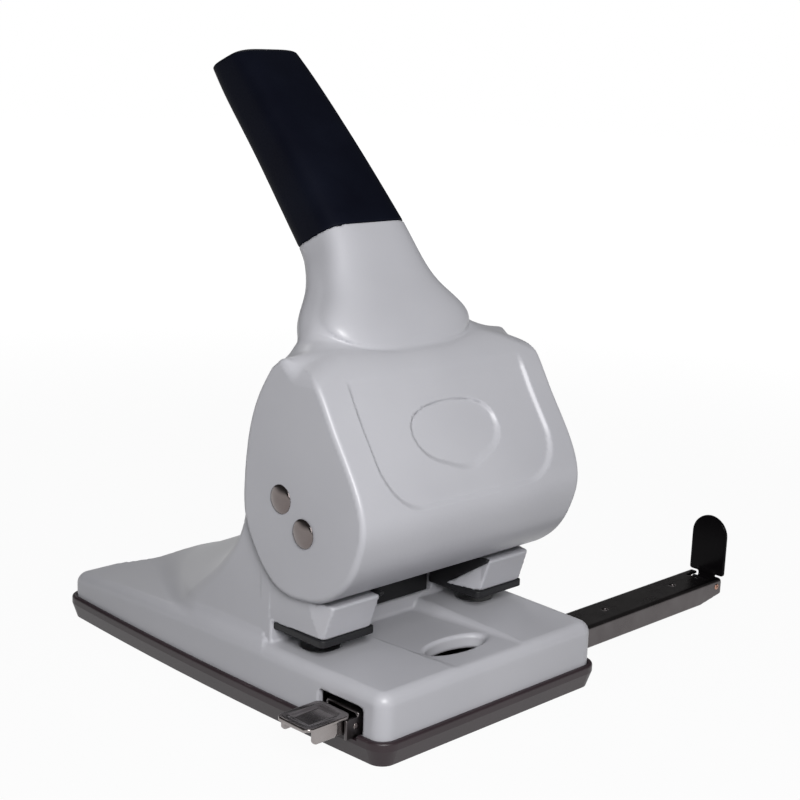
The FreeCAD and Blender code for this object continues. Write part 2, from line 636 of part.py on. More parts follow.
def frame_screws():
    screws = []
    for x, y in FRAME_SCREWS:
        shank = post(x, y, FRAME_SCREW_DIAMETER, GUIDE_PLATE_Z, BEAK_Z + FRAME_SCREW_LENGTH - SIDE_GAP)
        slot = box(x - FRAME_SCREW_HEAD, x + FRAME_SCREW_HEAD, y - FRAME_SLOT_WIDTH / 2,
                   y + FRAME_SLOT_WIDTH / 2, GUIDE_PLATE_Z - OVER, GUIDE_PLATE_Z + FRAME_SLOT_DEPTH)
        screws.append(joined(screw_head(x, y, 0.0), shank).cut(slot))
    return Part.makeCompound(screws + [mirrored(screw) for screw in screws])


def guide_bush():
    sleeve = post(PUNCH_X, PUNCH_Y, BUSH_DIAMETER, GUIDE_PLATE_Z, BUSH_TOP_Z)
    flange = post(PUNCH_X, PUNCH_Y, BUSH_FLANGE_DIAMETER, POCKET_FLOOR_Z, BUSH_TOP_Z)
    bore = post(PUNCH_X, PUNCH_Y, HOLE_DIAMETER + 2 * RUNNING_FIT, GUIDE_PLATE_Z - OVER, BUSH_TOP_Z + OVER)
    return joined(sleeve, flange).cut(bore)


def die():
    ring = post(PUNCH_X, PUNCH_Y, DIE_DIAMETER, TABLE_Z - DIE_HEIGHT, TABLE_Z)
    return ring.cut(post(PUNCH_X, PUNCH_Y, HOLE_DIAMETER + 2 * RUNNING_FIT,
                         TABLE_Z - DIE_HEIGHT - OVER, TABLE_Z + OVER))


def punch():
    """A hollow-ground punch pin with its bore for the dowel."""
    tip = GUIDE_PLATE_Z + PUNCH_TIP_RECESS
    shank = post(PUNCH_X, PUNCH_Y, HOLE_DIAMETER, tip, BAR_TOP_Z)
    notch = depth_pin(PUNCH_X, tip - HOLE_DIAMETER / 2, PUNCH_NOTCH_DIAMETER,
                      PUNCH_Y - HOLE_DIAMETER, PUNCH_Y + HOLE_DIAMETER)
    return shank.cut([notch, dowel_shape(FIXED_FIT)])


def dowel_shape(gap):
    return depth_pin(PUNCH_X, BAR_Z + BAR_THICKNESS / 2, DOWEL_DIAMETER + 2 * gap,
                     BAR_FRONT_Y + DOWEL_INSET - gap, BAR_BACK_Y)


def drive_bar():
    """Cross bar that carries both punches; the drive pin bears on its top."""
    bar = box(-BAR_HALF_LENGTH, BAR_HALF_LENGTH, BAR_FRONT_Y, BAR_BACK_Y, BAR_Z, BAR_TOP_Z)
    bore = post(PUNCH_X, PUNCH_Y, HOLE_DIAMETER + 2 * FIXED_FIT, BAR_Z - OVER, BAR_TOP_Z + OVER)
    dowel = dowel_shape(FIXED_FIT)
    return bar.cut([bore, mirrored(bore), dowel, mirrored(dowel)])


def punch_collar():
    ring = post(PUNCH_X, PUNCH_Y, COLLAR_DIAMETER, COLLAR_TOP_Z - COLLAR_THICKNESS, COLLAR_TOP_Z)
    return ring.cut(post(PUNCH_X, PUNCH_Y, HOLE_DIAMETER + 2 * FIXED_FIT,
                         COLLAR_TOP_Z - COLLAR_THICKNESS - OVER, COLLAR_TOP_Z + OVER))


def return_spring():
    low = BUSH_TOP_Z + SPRING_WIRE / 2
    high = COLLAR_TOP_Z - COLLAR_THICKNESS - SPRING_WIRE / 2
    helix = Part.makeHelix((high - low) / SPRING_TURNS, high - low, SPRING_RADIUS)
    helix.translate(V(PUNCH_X, PUNCH_Y, low))
    ring = Part.Circle(V(PUNCH_X + SPRING_RADIUS, PUNCH_Y, low), V(0, 1, 0), SPRING_WIRE / 2)
    return Part.Wire(helix.Edges).makePipeShell([Part.Wire(ring.toShape())], True, True)


def paper_stop():
    return box(-STOP_BAR_HALF_LENGTH, STOP_BAR_HALF_LENGTH, PAPER_STOP_Y + STOP_BAR_SET,
               PAPER_STOP_Y + STOP_BAR_SET + STOP_BAR_DEPTH, LEDGE_Z, STOP_BAR_TOP_Z)


def pin_with_head(y, z, diameter, end_x):
    """Pin across the head; the left end is riveted, the right end takes a cap."""
    shank = rod(y, z, diameter, -end_x, end_x + PIN_HEAD_THICKNESS - SIDE_GAP)
    head = rod(y, z, PIN_HEAD_DIAMETER, -end_x - PIN_HEAD_THICKNESS, -end_x)
    rim = [edge for edge in head.Edges if edge.BoundBox.XMax < -end_x - PIN_HEAD_THICKNESS + NEAR]
    return joined(shank, head.makeFillet(PIN_HEAD_ROUND, rim))


def pin_cap(y, z, diameter, end_x):
    cap = rod(y, z, PIN_HEAD_DIAMETER, end_x, end_x + PIN_HEAD_THICKNESS)
    rim = [edge for edge in cap.Edges if edge.BoundBox.XMin > end_x + PIN_HEAD_THICKNESS - NEAR]
    cap = cap.makeFillet(PIN_HEAD_ROUND, rim)
    return cap.cut(rod(y, z, diameter + 2 * FIXED_FIT, end_x - OVER, end_x + PIN_HEAD_THICKNESS - SIDE_GAP))


# ---- lever
def head_prism(inset, x0, x1):
    points = [V(x0, *polar(angle, radius - inset)) for angle, radius in HEAD_OUTLINE]
    curve = Part.BSplineCurve()
    curve.interpolate(points, True)
    return Part.Face(Part.Wire(curve.toShape())).extrude(V(x1 - x0, 0, 0))


def oval_wire(front, back, half_width, inset):
    """A section across the YZ plane from the front point to the back point."""
    front, back = V(0, *front), V(0, *back)
    inward = (back - front).normalize() * inset
    front, back = front + inward, back - inward
    centre, half_depth = (front + back) / 2, (back - front) / 2
    points = []
    for step in range(SECTION_STEPS):
        turn = 2 * math.pi * step / SECTION_STEPS
        cosine, sine = math.cos(turn), math.sin(turn)
        across = math.copysign(abs(cosine) ** SECTION_POWER, cosine) * (half_width - inset)
        along = math.copysign(abs(sine) ** SECTION_POWER, sine)
        points.append(centre + V(across, 0, 0) + half_depth * along)
    curve = Part.BSplineCurve()
    curve.interpolate(points, True)
    return Part.Wire(curve.toShape())


def lofted(sections, inset):
    wires = [oval_wire(front, back, width, inset) for front, back, width in sections]
    return Part.makeLoft(wires, True, False)


def core_line():
    start = V(0, *CORE_START)
    return start, (V(0, *CORE_END) - start).normalize()


def core_shape(gap):
    start, along = core_line()
    length = (V(0, *CORE_END) - start).Length + gap
    across = V(0, -along.z, along.y)
    corner = start + V(-CORE_WIDTH / 2 - gap, 0, 0) - across * (CORE_DEPTH / 2 + gap)
    points = [corner, corner + V(CORE_WIDTH + 2 * gap, 0, 0)]
    points += [points[1] + across * (CORE_DEPTH + 2 * gap), corner + across * (CORE_DEPTH + 2 * gap)]
    bar = Part.Face(Part.makePolygon(points + points[:1])).extrude(along * length)
    long_edges = [edge for edge in bar.Edges if abs(edge.Length - length) < NEAR]
    return bar.makeFillet(CORE_EDGE_ROUND, long_edges)


def core_pin_shape(gap):
    """A hidden pin through the back of the neck and into the core."""
    start, along = core_line()
    across = V(0, along.z, -along.y)
    centre = start + along * CORE_PIN_AT
    return Part.makeCylinder(CORE_PIN_DIAMETER / 2 + gap, CORE_PIN_LENGTH + gap,
                             centre - across * (CORE_DEPTH / 2), across)


def lever_shell():
    outside = head_prism(0.0, -HEAD_HALF_WIDTH, HEAD_HALF_WIDTH)
    outside = outside.makeFillet(HEAD_EDGE_ROUND, [edge for edge in outside.Edges
                                                  if edge.BoundBox.XLength < NEAR])
    outside = joined(outside, lofted(NECK_SECTIONS, 0.0))
    sector = [(PIVOT_Y, PIVOT_Z)]
    for step in range(HEAD_SECTOR_STEPS + 1):
        share = step / HEAD_SECTOR_STEPS
        sector.append(polar(HEAD_OPEN_FROM + (HEAD_OPEN_TO - HEAD_OPEN_FROM) * share, HEAD_SECTOR_REACH))
    cavity = [head_prism(HEAD_WALL, -HEAD_INNER_X, HEAD_INNER_X),
              slab(sector, -HEAD_INNER_X, HEAD_INNER_X),
              lofted(NECK_CAVITY_SECTIONS, NECK_WALL)]
    shell = outside.cut(cavity)
    socket = core_socket().common(lofted(NECK_SECTIONS, NECK_WALL / 2))
    shell = joined(shell, socket)
    return shell.cut([core_shape(FIXED_FIT), core_pin_shape(FIXED_FIT),
                      rod(PIVOT_Y, PIVOT_Z, AXLE_DIAMETER + 2 * RUNNING_FIT,
                          -HEAD_HALF_WIDTH - OVER, HEAD_HALF_WIDTH + OVER),
                      rod(DRIVE_Y, DRIVE_Z, DRIVE_PIN_DIAMETER + 2 * FIXED_FIT,
                          -HEAD_HALF_WIDTH - OVER, HEAD_HALF_WIDTH + OVER)])


def core_socket():
    """A block inside the neck that grips the foot of the core."""
    start, along = core_line()
    across = V(0, -along.z, along.y)
    half_depth, half_width = CORE_DEPTH / 2 + SOCKET_WALL, CORE_WIDTH / 2 + SOCKET_WALL
    corner = start - along * SOCKET_START + V(-half_width, 0, 0) - across * half_depth
    points = [corner, corner + V(2 * half_width, 0, 0)]
    points += [points[1] + across * 2 * half_depth, corner + across * 2 * half_depth]
    return Part.Face(Part.makePolygon(points + points[:1])).extrude(along * SOCKET_LENGTH)


def handle_grip():
    """Rubber sleeve over the core, closed by a low crown."""
    front, back, half_width = GRIP_SECTIONS[-1]
    along = core_line()[1]
    rim = oval_wire(front, back, half_width, 0.0)
    top = oval_wire(front, back, half_width, GRIP_CROWN_INSET)
    top.translate(along * GRIP_CROWN)
    crown = Part.makeLoft([rim, top], True, False)
    return joined(lofted(GRIP_SECTIONS, 0.0), crown).cut(core_shape(FIXED_FIT))


# ---- sliding paper guide
def ruler_channel():
    """Folded channel, open below; at its left end only two low ears go on to the latch pin."""
    front, back = RULER_FRONT_Y, RULER_BACK_Y
    side = [(RULER_LEFT_X, RULER_BOTTOM_Z), (RULER_RIGHT_X - RULER_TAPER_LENGTH, RULER_BOTTOM_Z),
            (RULER_RIGHT_X, RULER_BOTTOM_Z + RULER_TAPER_HEIGHT), (RULER_RIGHT_X, RULER_TOP_Z),
            (RULER_WEB_LEFT_X, RULER_TOP_Z), (RULER_WEB_LEFT_X, RULER_EAR_TOP_Z),
            (RULER_LEFT_X, RULER_EAR_TOP_Z)]
    wire = Part.makePolygon([V(x, front, z) for x, z in side + side[:1]])
    body = Part.Face(wire).extrude(V(0, back - front, 0))
    hollow = box(RULER_LEFT_X - OVER, RULER_RIGHT_X + OVER, front + RULER_SHEET, back - RULER_SHEET,
                 RULER_BOTTOM_Z - OVER, RULER_TOP_Z - RULER_SHEET)
    pins = [cross_bore(LATCH_PIN_X, LATCH_PIN_Z, LATCH_PIN_DIAMETER, FIXED_FIT),
            cross_bore(FLAP_PIN_X, FLAP_PIN_Z, FLAP_PIN_DIAMETER, FIXED_FIT)]
    slot = box(RULER_RIGHT_X - FLAP_SLOT, RULER_RIGHT_X + OVER, FLAP_EAR_FRONT_Y - SLIDE_GAP,
               FLAP_EAR_BACK_Y + SLIDE_GAP, RULER_BOTTOM_Z, RULER_TOP_Z + OVER)
    holes = []
    for step in range(DETENT_COUNT):
        x = RULER_RIGHT_X - DETENT_INSET - step * DETENT_PITCH
        holes.append(post(x, RULER_MIDDLE_Y, DETENT_DIAMETER, RULER_BOTTOM_Z, RULER_TOP_Z + OVER))
    return body.cut([hollow, slot] + pins + holes)


def cross_bore(x, z, diameter, gap):
    return depth_pin(x, z, diameter + 2 * gap, RULER_FRONT_Y - OVER, RULER_BACK_Y + OVER)


def cross_rivet(x, z, diameter):
    return depth_pin(x, z, diameter, RULER_FRONT_Y - SIDE_GAP, RULER_BACK_Y + SIDE_GAP)


def ruler_latch():
    """Finger tab over the ruler's left end: a dished plate with two legs and two tongues."""
    front, back = RULER_FRONT_Y, RULER_BACK_Y
    under = RULER_TOP_Z - RULER_SHEET
    plate_box = box(LATCH_LEFT_X, LATCH_RIGHT_X, front, back, under, RULER_TOP_Z)
    corners = [edge for edge in plate_box.Edges
               if edge.BoundBox.ZLength > RULER_SHEET / 2 and edge.BoundBox.XMax < LATCH_RIGHT_X - OVER]
    tab = plate_box.makeFillet(LATCH_CORNER, corners)
    rim = depth_pin(LATCH_LEFT_X + RULER_SHEET / 2, under, 2 * LATCH_RIM,
                    front + LATCH_CORNER, back - LATCH_CORNER)
    dish = box(LATCH_LEFT_X + LATCH_DISH_INSET, LATCH_RIGHT_X - LATCH_DISH_INSET,
               front + LATCH_DISH_INSET, back - LATCH_DISH_INSET,
               RULER_TOP_Z - LATCH_DISH_DEPTH, RULER_TOP_Z + OVER)
    pieces = []
    for y0, y1 in ((front, front + RULER_SHEET), (back - RULER_SHEET, back)):
        pieces.append(box(LATCH_LEG_LEFT_X, LATCH_LEG_RIGHT_X, y0, y1, LATCH_LEG_Z, under))
    tongue_front = front + RULER_SHEET + SLIDE_GAP
    tongue_back = back - RULER_SHEET - SLIDE_GAP
    eye_low, eye_high = LATCH_PIN_Z - LATCH_EYE_RADIUS, LATCH_PIN_Z + LATCH_EYE_RADIUS
    for y0 in (tongue_front, tongue_back - RULER_SHEET):
        y1 = y0 + RULER_SHEET
        pieces.append(box(LATCH_LEG_RIGHT_X, LATCH_RIGHT_X, y0, y1, eye_low, under))
        pieces.append(box(LATCH_RIGHT_X, LATCH_PIN_X, y0, y1, eye_low, eye_high))
        pieces.append(depth_pin(LATCH_PIN_X, LATCH_PIN_Z, 2 * LATCH_EYE_RADIUS, y0, y1))
    bore = cross_bore(LATCH_PIN_X, LATCH_PIN_Z, LATCH_PIN_DIAMETER, RUNNING_FIT)
    return joined(tab, rim, *pieces).cut([dish, bore])


def end_stop_flap():
    """Paper stop that stands on the ruler's end, with a round top and an ear round its pin."""
    middle, half = RULER_MIDDLE_Y, FLAP_WIDTH / 2
    foot = FLAP_PIN_Z + FLAP_OFFSET
    shoulder = foot + FLAP_HEIGHT - half
    left = FLAP_PIN_X + FLAP_OFFSET
    panel = box(left, left + FLAP_SHEET, middle - half, middle + half, foot, shoulder)
    top = Part.makeCylinder(half, FLAP_SHEET, V(left, middle, shoulder), V(1, 0, 0))
    ear = box(left, left + FLAP_SHEET, FLAP_EAR_FRONT_Y, FLAP_EAR_BACK_Y, FLAP_PIN_Z, foot + OVER)
    eye = depth_pin(FLAP_PIN_X, FLAP_PIN_Z, 2 * FLAP_EYE_RADIUS, FLAP_EAR_FRONT_Y, FLAP_EAR_BACK_Y)
    web = box(FLAP_PIN_X, left + FLAP_SHEET, FLAP_EAR_FRONT_Y, FLAP_EAR_BACK_Y,
              FLAP_PIN_Z - FLAP_EYE_RADIUS / 2, FLAP_PIN_Z + FLAP_EYE_RADIUS / 2)
    bore = cross_bore(FLAP_PIN_X, FLAP_PIN_Z, FLAP_PIN_DIAMETER, RUNNING_FIT)
    return joined(panel, top, ear, eye, web).cut(bore)


def ruler_guide():
    """Strap under the ruler, hooked round its front and screwed to the housing behind it."""
    x0, x1 = GUIDE_X - GUIDE_WIDTH / 2, GUIDE_X + GUIDE_WIDTH / 2
    front, back = RULER_FRONT_Y - SLIDE_GAP, RULER_BACK_Y + SLIDE_GAP
    low, top = RULER_BOTTOM_Z - SLIDE_GAP, GUIDE_FLANGE_Z + GUIDE_SHEET
    floor = box(x0, x1, front - GUIDE_SHEET, back + GUIDE_SHEET, low - GUIDE_SHEET, low)
    hook = box(x0, x1, front - GUIDE_SHEET, front, low - GUIDE_SHEET, top)
    riser = box(x0, x1, back, back + GUIDE_SHEET, low - GUIDE_SHEET, top)
    flange = box(x0, x1, back, GUIDE_SCREW_Y + GUIDE_WIDTH / 2, GUIDE_FLANGE_Z, top)
    hole = post(GUIDE_X, GUIDE_SCREW_Y, GUIDE_SCREW_DIAMETER + 2 * FIXED_FIT,
                GUIDE_FLANGE_Z - OVER, top + OVER)
    return joined(floor, hook, riser, flange).cut(hole)


def guide_screws():
    head = post(GUIDE_X, GUIDE_SCREW_Y, SCREW_HEAD_DIAMETER, GUIDE_FLANGE_Z - SCREW_HEAD, GUIDE_FLANGE_Z)
    shank = post(GUIDE_X, GUIDE_SCREW_Y, GUIDE_SCREW_DIAMETER, GUIDE_FLANGE_Z - SCREW_HEAD,
                 TABLE_Z - HOUSING_WALL - SIDE_GAP)
    socket = post(GUIDE_X, GUIDE_SCREW_Y, SCREW_HEAD_DIAMETER / 2, GUIDE_FLANGE_Z - SCREW_HEAD - OVER,
                  GUIDE_FLANGE_Z - SCREW_HEAD + OVER)
    screw = joined(head, shank).cut(socket)
    return Part.makeCompound([screw, mirrored(screw)])


def ruler_spring():
    """Bowed leaf under the table that rests on the ruler and holds it where it is set."""
    top = TABLE_Z - HOUSING_WALL
    ends_x = (LEAF_X - LEAF_SPAN / 2, LEAF_X + LEAF_SPAN / 2)
    low = RULER_TOP_Z + SIDE_GAP

    def arc(lift):
        return Part.Arc(V(ends_x[0], 0, top - LEAF_SHEET + lift), V(LEAF_X, 0, low + lift),
                        V(ends_x[1], 0, top - LEAF_SHEET + lift)).toShape()

    lower, upper = arc(0.0), arc(LEAF_SHEET)
    sides = [Part.LineSegment(a.Point, b.Point).toShape()
             for a, b in zip(lower.Vertexes, upper.Vertexes)]
    bow = Part.Face(Part.Wire(Part.__sortEdges__([lower, upper] + sides)))
    bow = bow.extrude(V(0, LEAF_WIDTH, 0))
    bow.translate(V(0, RULER_MIDDLE_Y - LEAF_WIDTH / 2, 0))
    return bow


# ---- write every piece
os.makedirs("parts", exist_ok=True)
save("chip_tray", chip_tray())
save("base_housing", base_housing())
save("punch_body", punch_body())
save("body_screws", body_screws())
save_pair("punch_frame", punch_frame())
save("frame_screws", frame_screws())
save_pair("guide_bush", guide_bush())
save_pair("die", die())
save("paper_stop", paper_stop())
save("pivot_axle", pin_with_head(PIVOT_Y, PIVOT_Z, AXLE_DIAMETER, HEAD_HALF_WIDTH + SIDE_GAP))
save("pivot_axle_cap", pin_cap(PIVOT_Y, PIVOT_Z, AXLE_DIAMETER, HEAD_HALF_WIDTH + SIDE_GAP))
save_pair("return_spring", return_spring())
save("drive_bar", drive_bar())
save_pair("punch", punch())
save_pair("punch_dowel", dowel_shape(0.0))
save_pair("punch_collar", punch_collar())
save("lever_shell", lever_shell())
save("handle_core", core_shape(0.0).cut(core_pin_shape(FIXED_FIT)))
save("core_pin", core_pin_shape(0.0))
save("handle_grip", handle_grip())
save("drive_pin", pin_with_head(DRIVE_Y, DRIVE_Z, DRIVE_PIN_DIAMETER, HEAD_HALF_WIDTH))
save("drive_pin_cap", pin_cap(DRIVE_Y, DRIVE_Z, DRIVE_PIN_DIAMETER, HEAD_HALF_WIDTH))
save("ruler_channel", ruler_channel())
save("ruler_latch", ruler_latch())
save("latch_pin", cross_rivet(LATCH_PIN_X, LATCH_PIN_Z, LATCH_PIN_DIAMETER))
save("end_stop_flap", end_stop_flap())
save("flap_pin", cross_rivet(FLAP_PIN_X, FLAP_PIN_Z, FLAP_PIN_DIAMETER))
save_pair("ruler_guide", ruler_guide())
save("guide_screws", guide_screws())
save("ruler_spring", ruler_spring())
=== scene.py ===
"""Looks of a heavy two-hole lever punch: castings, grip, paper guide, springs and finishes.

Outlines and fields are in millimetres in the part's own frame; meshes are made in metres.
"""
import math
from functools import reduce

import bpy
import numpy as np
from mathutils import Matrix, Vector


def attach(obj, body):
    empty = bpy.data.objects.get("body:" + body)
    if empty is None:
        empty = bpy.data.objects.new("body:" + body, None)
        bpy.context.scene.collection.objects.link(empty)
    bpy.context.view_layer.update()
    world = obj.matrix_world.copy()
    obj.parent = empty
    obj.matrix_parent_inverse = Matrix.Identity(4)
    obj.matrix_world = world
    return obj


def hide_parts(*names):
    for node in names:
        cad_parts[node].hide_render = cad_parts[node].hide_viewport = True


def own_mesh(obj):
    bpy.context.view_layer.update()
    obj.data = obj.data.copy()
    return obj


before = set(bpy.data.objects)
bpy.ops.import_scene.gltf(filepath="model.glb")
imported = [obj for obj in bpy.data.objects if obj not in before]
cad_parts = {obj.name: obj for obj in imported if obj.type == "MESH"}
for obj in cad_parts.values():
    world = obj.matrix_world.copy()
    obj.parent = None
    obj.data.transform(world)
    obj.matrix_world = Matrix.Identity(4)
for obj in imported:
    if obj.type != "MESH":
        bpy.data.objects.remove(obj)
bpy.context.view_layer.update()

MM = 0.001

# ---- camera
EYE = (-390.0, -429.1, 236.4)
VIEW_AZIMUTH, VIEW_HEIGHT, VIEW_ROLL = -44.85, 13.08, 2.11
FOCAL_SHARE = 1.957
SENSOR = 36.0

# ---- lever head; its outline and its rounded edge run round the pivot as (angle, radius)
PIVOT = PIVOT_Y, PIVOT_Z = -48.9, 71.2
HEAD_HALF_WIDTH, HEAD_WALL = 55.4, 2.2
HEAD_OUTLINE = (
    (5.0, 33.0), (20.0, 35.0), (35.0, 39.0), (50.0, 45.6), (62.0, 52.2), (72.0, 57.8),
    (82.0, 61.0), (92.0, 55.4), (104.0, 44.4), (118.0, 37.0), (134.0, 33.2), (150.0, 31.4),
    (167.0, 29.8), (184.0, 27.4), (204.0, 25.7), (230.0, 24.5), (255.0, 24.5), (272.0, 25.0),
    (290.0, 26.8), (308.0, 28.2), (327.0, 28.9), (342.0, 30.2),
)
HEAD_EDGE = ((0.0, 1.6), (30.0, 1.6), (60.0, 1.6), (82.0, 1.7), (100.0, 1.8), (118.0, 1.8), (135.0, 1.8),
             (200.0, 2.2), (270.0, 2.4), (330.0, 2.0))
HEAD_OPEN_FROM, HEAD_OPEN_TO = 262.0, 49.0
INNER_EDGE_LESS, INNER_EDGE_LEAST = 1.5, 0.5
HOLLOW_ROUND, HEAD_RIM_EDGE = 3.0, 0.5

# ---- neck: front and back lines as (y, z), and half widths along them
NECK_FRONT = ((-47.5, 127.5), (-45.7, 131.6), (-41.8, 138.8), (-35.3, 147.9), (-28.7, 157.2), (-20.5, 171.1),
              (-6.8, 185.8))
NECK_BACK = ((-23.0, 124.5), (-18.0, 131.0), (-14.1, 138.0), (-9.0, 145.6), (-4.1, 152.7), (3.1, 158.7),
             (18.6, 176.4))
NECK_END, NECK_END_EDGE = 5, 0.3
NECK_HOLLOW_END, NECK_HOLLOW_SLOPE = 2.4, 8.0
SHOULDER_WIDTHS = (52.0, 42.5, 29.5, 20.0, 16.0, 14.0, 13.0)
TONGUE_WIDTHS = (22.0, 31.0, 34.5, 27.2, 22.8, 19.5, 18.6)
SHOULDER_SET_BACK, SHOULDER_ROUND, TONGUE_ROUND = 2.2, 2.6, 4.0
SHOULDER_BELOW, TONGUE_BELOW = 12.0, 1.0
ROOF_Z, ROOF_SLOPE, ROOF_EDGE = 125.4, 0.445, 3.5
ROOF_LIFT, ROOF_LIFT_Y = 9.0, (-44.0, -28.0)
FLANK_SPAN = (-0.75, 0.1)
SHOULDER_FILLET, SHOULDER_FILLET_MORE = 2.5, 3.0
TONGUE_FILLET, TONGUE_FILLET_MORE = 0.7, 9.3
CREASE_DEPTH, CREASE_WIDTH = 0.45, 1.1

# ---- the two outlines pressed into the head: a wide panel and a smaller pick-shaped field in it;
# a press gives the slope of the panel's edge, that of the pick's, and how far ahead both set in
PANEL_DEPTH, PANEL_X, PANEL_HALF_WIDTH, PANEL_LOW_Z, PANEL_CORNER = 1.3, 1.0, 43.9, 80.9, 18.0
PANEL_FADE_Z = (117.0, 124.0)
PICK_DEPTH, PICK_X, PICK_Z, PICK_EASE = 1.2, 0.5, 103.0, 0.85
PICK_OUTLINE = ((-90.0, 12.9), (-72.0, 13.0), (-38.0, 15.5), (-16.0, 19.8), (0.0, 21.5), (12.7, 20.4),
                (30.3, 15.9), (62.5, 10.8), (90.0, 9.8))
OUTER_PRESS = ((-1.7, 0.2), (-1.5, 0.2), (52.0, 54.0))
INNER_PRESS = ((-0.3, 4.0), (-0.3, 4.0), (49.0, 53.0))

# ---- grip
GRIP_FRONT = ((-20.5, 171.1), (-6.8, 185.8), (8.2, 201.2), (25.8, 218.5), (37.4, 229.0))
GRIP_BACK = ((3.1, 158.7), (18.6, 176.4), (33.6, 193.2), (49.1, 209.4), (58.6, 220.4))
GRIP_WIDTHS = (19.5, 18.6, 17.7, 16.6, 15.6)
GRIP_AXIS = np.array([0.0, 62.0, 65.6]) / math.hypot(62.0, 65.6)
GRIP_POINTS, GRIP_POWER = 72, 0.5
GRIP_LIP = ((1.1, 0.0), (0.45, 0.004), (0.1, 0.02), (0.0, 0.045), (0.0, 0.09))
GRIP_BODY_FROM, GRIP_BODY_RINGS = 0.14, 44
GRIP_END_ROUND, GRIP_END_RISE, GRIP_END_RINGS = 5.2, 2.6, 12
GRIP_CAP_SHARES, GRIP_CAP_SHIFT, GRIP_CAP_DOME = (0.8, 0.55, 0.3, 0.1), 0.25, 0.2

# ---- base; hump levels are (z, y at the towers' sides, y on the middle line)
BASE_MIDDLE_Y, BASE_HALF_LENGTH, BASE_HALF_WIDTH = 2.0, 92.0, 55.0
SIDE_BULGE, BASE_CORNER, BASE_EDGE = 2.5, 5.5, 4.4
BASE_LOW_Z, TABLE_Z, STOP_Y, BASE_DROP = 3.0, 25.2, -29.9, 7.0
WALL, FAR_INSIDE = 3.0, -9.0
HUMP_LEVELS = ((18.0, 20.0, 88.0), (28.0, 18.5, 65.0), (40.0, 6.2, 38.5), (52.0, -4.8, 11.0),
               (62.0, -11.0, -7.5), (74.0, -14.0, -12.0))
HUMP_FRONT_Y, HUMP_TOP_Z, HUMP_INSIDE_Z, HUMP_EDGE, HUMP_FILLET, HUMP_INSIDE_EDGE = -25.5, 74.0, 71.0, 2.4, 4.5, 2.0
TOWER_IN, TOWER_OUT, TOWER_TOP_Z, TOWER_FRONT_Y, TOWER_FRONT_Z = 28.2, 52.9, 62.5, -51.5, 47.0
TOWER_INTO_HUMP, TOWER_FILLET, TOWER_EDGE, BEAK_EDGE, POCKET_EDGE = 1.5, 0.6, 0.6, 0.3, 0.4
PUNCH = (40.0, -41.5)
BEAK_Z, BEAK_FRONT_Y, BEAK_LEAN, BEAK_ARC = 33.2, -55.0, 0.34, 25.2
BEAK_CORNER = (0.988, -0.048, -0.146, 48.13)
BEAK_NOSE = (0.965, -0.255, -0.064, 60.75)
TOE_Y, TOE_TAPER, TOE_LENGTH = -55.7, 0.238, 1.028
RAMP_Y, RAMP_SLOPE, RAMP_LENGTH = -40.0, 0.649, 1.19
BOSS_RADIUS, BOSS_IN = 10.4, 46.5
SCOOP_LENGTH, SCOOP_DEPTH, SCOOP_RISE, SCOOP_FRONT_Y, SCOOP_TOP_Z = 57.1, 4.0, 3.9, -87.0, 29.0
SCOOP_HALF_WIDTH, SCOOP_FLARE, SCOOP_FLARE_LENGTH, SCOOP_ROUND, SCOOP_EDGE = 17.5, 0.9, 1.35, 1.0, 0.8
WINDOW_Y, WINDOW_HALF_X, WINDOW_HALF_Y, WINDOW_EASE, WINDOW_EDGE = -70.0, 14.0, 6.8, 8.0, 1.6
REAR_CUT_Y, REAR_CUT_RADIUS, REAR_CUT_EDGE = 150.73, 67.73, 1.2
DIE_SEATS = ((PUNCH, 10.0, 16.5), ((33.0, -56.6), 4.0, 18.6))
DIE_BORES = ((7.02, 19.2), (4.0, 15.0))
DIE_BORE_TOP_Z = 27.0
SMALL_EDGE, LOW_EDGE = 0.5, 0.4

# ---- plain blocks of the base as (low corner, high corner) from the middle outwards; None is open
POCKET = ((30.4, -49.5, 36.0), (46.5, STOP_Y, None))
BAR_WAY = ((None, -55.0, 57.0), (31.0, -28.4, None))
LEDGE = ((None, STOP_Y, 15.0), (TOWER_IN + 1.0, HUMP_FRONT_Y + 1.0, 27.2))
TOWER_ROOT = ((TOWER_IN, STOP_Y, 15.0), (TOWER_OUT, HUMP_FRONT_Y + 1.0, 34.0))
TOWER_REAR = ((TOWER_IN, -28.4, 25.0), (TOWER_OUT, HUMP_FRONT_Y + 1.0, 74.0))
SCREEN = ((None, -21.5, 70.0), (TOWER_OUT, -18.5, 90.0))
RULER_PAD = ((None, -87.5, 17.7), (23.5, HUMP_FRONT_Y, 24.0))
RULER_WAY = ((50.0, -80.2, 7.9), (None, -59.4, 18.5))

# ---- steel foot and strip of each beak
FOOT_X, FOOT_HALF_WIDTH, FOOT_FRONT_Y, FOOT_CORNER, FOOT_EDGE = 39.2, 12.6, -55.8, 2.0, 0.2
FOOT_MIDDLE_Z, FOOT_HALF_SHEET, FOOT_BORE = 31.85, 1.35, 5.02
STRIP_IN, STRIP_MIDDLE_Z, STRIP_HALF_HEIGHT, STRIP_OFF_RAMP = 26.6, 43.8, 11.2, 0.1
SINK_X, SINK_Y, SINK_APART, SINK_Z = 48.8, -41.25, 5.25, 30.5
SINK_BORE, SINK_WIDE, SINK_SLOPE = 1.52, 2.52, 0.667

# ---- meshing: how field points are drawn to the surface, and when one counts as lost
DRAW_ROUNDS, SLOPE_REACH, LEAST_SLOPE, DRAW_LIMIT = 6, 0.03, 0.2, 0.6
LOST_MOVE, LOST_BEND, NORMAL_AGREES = 1.6, 0.75, 0.93


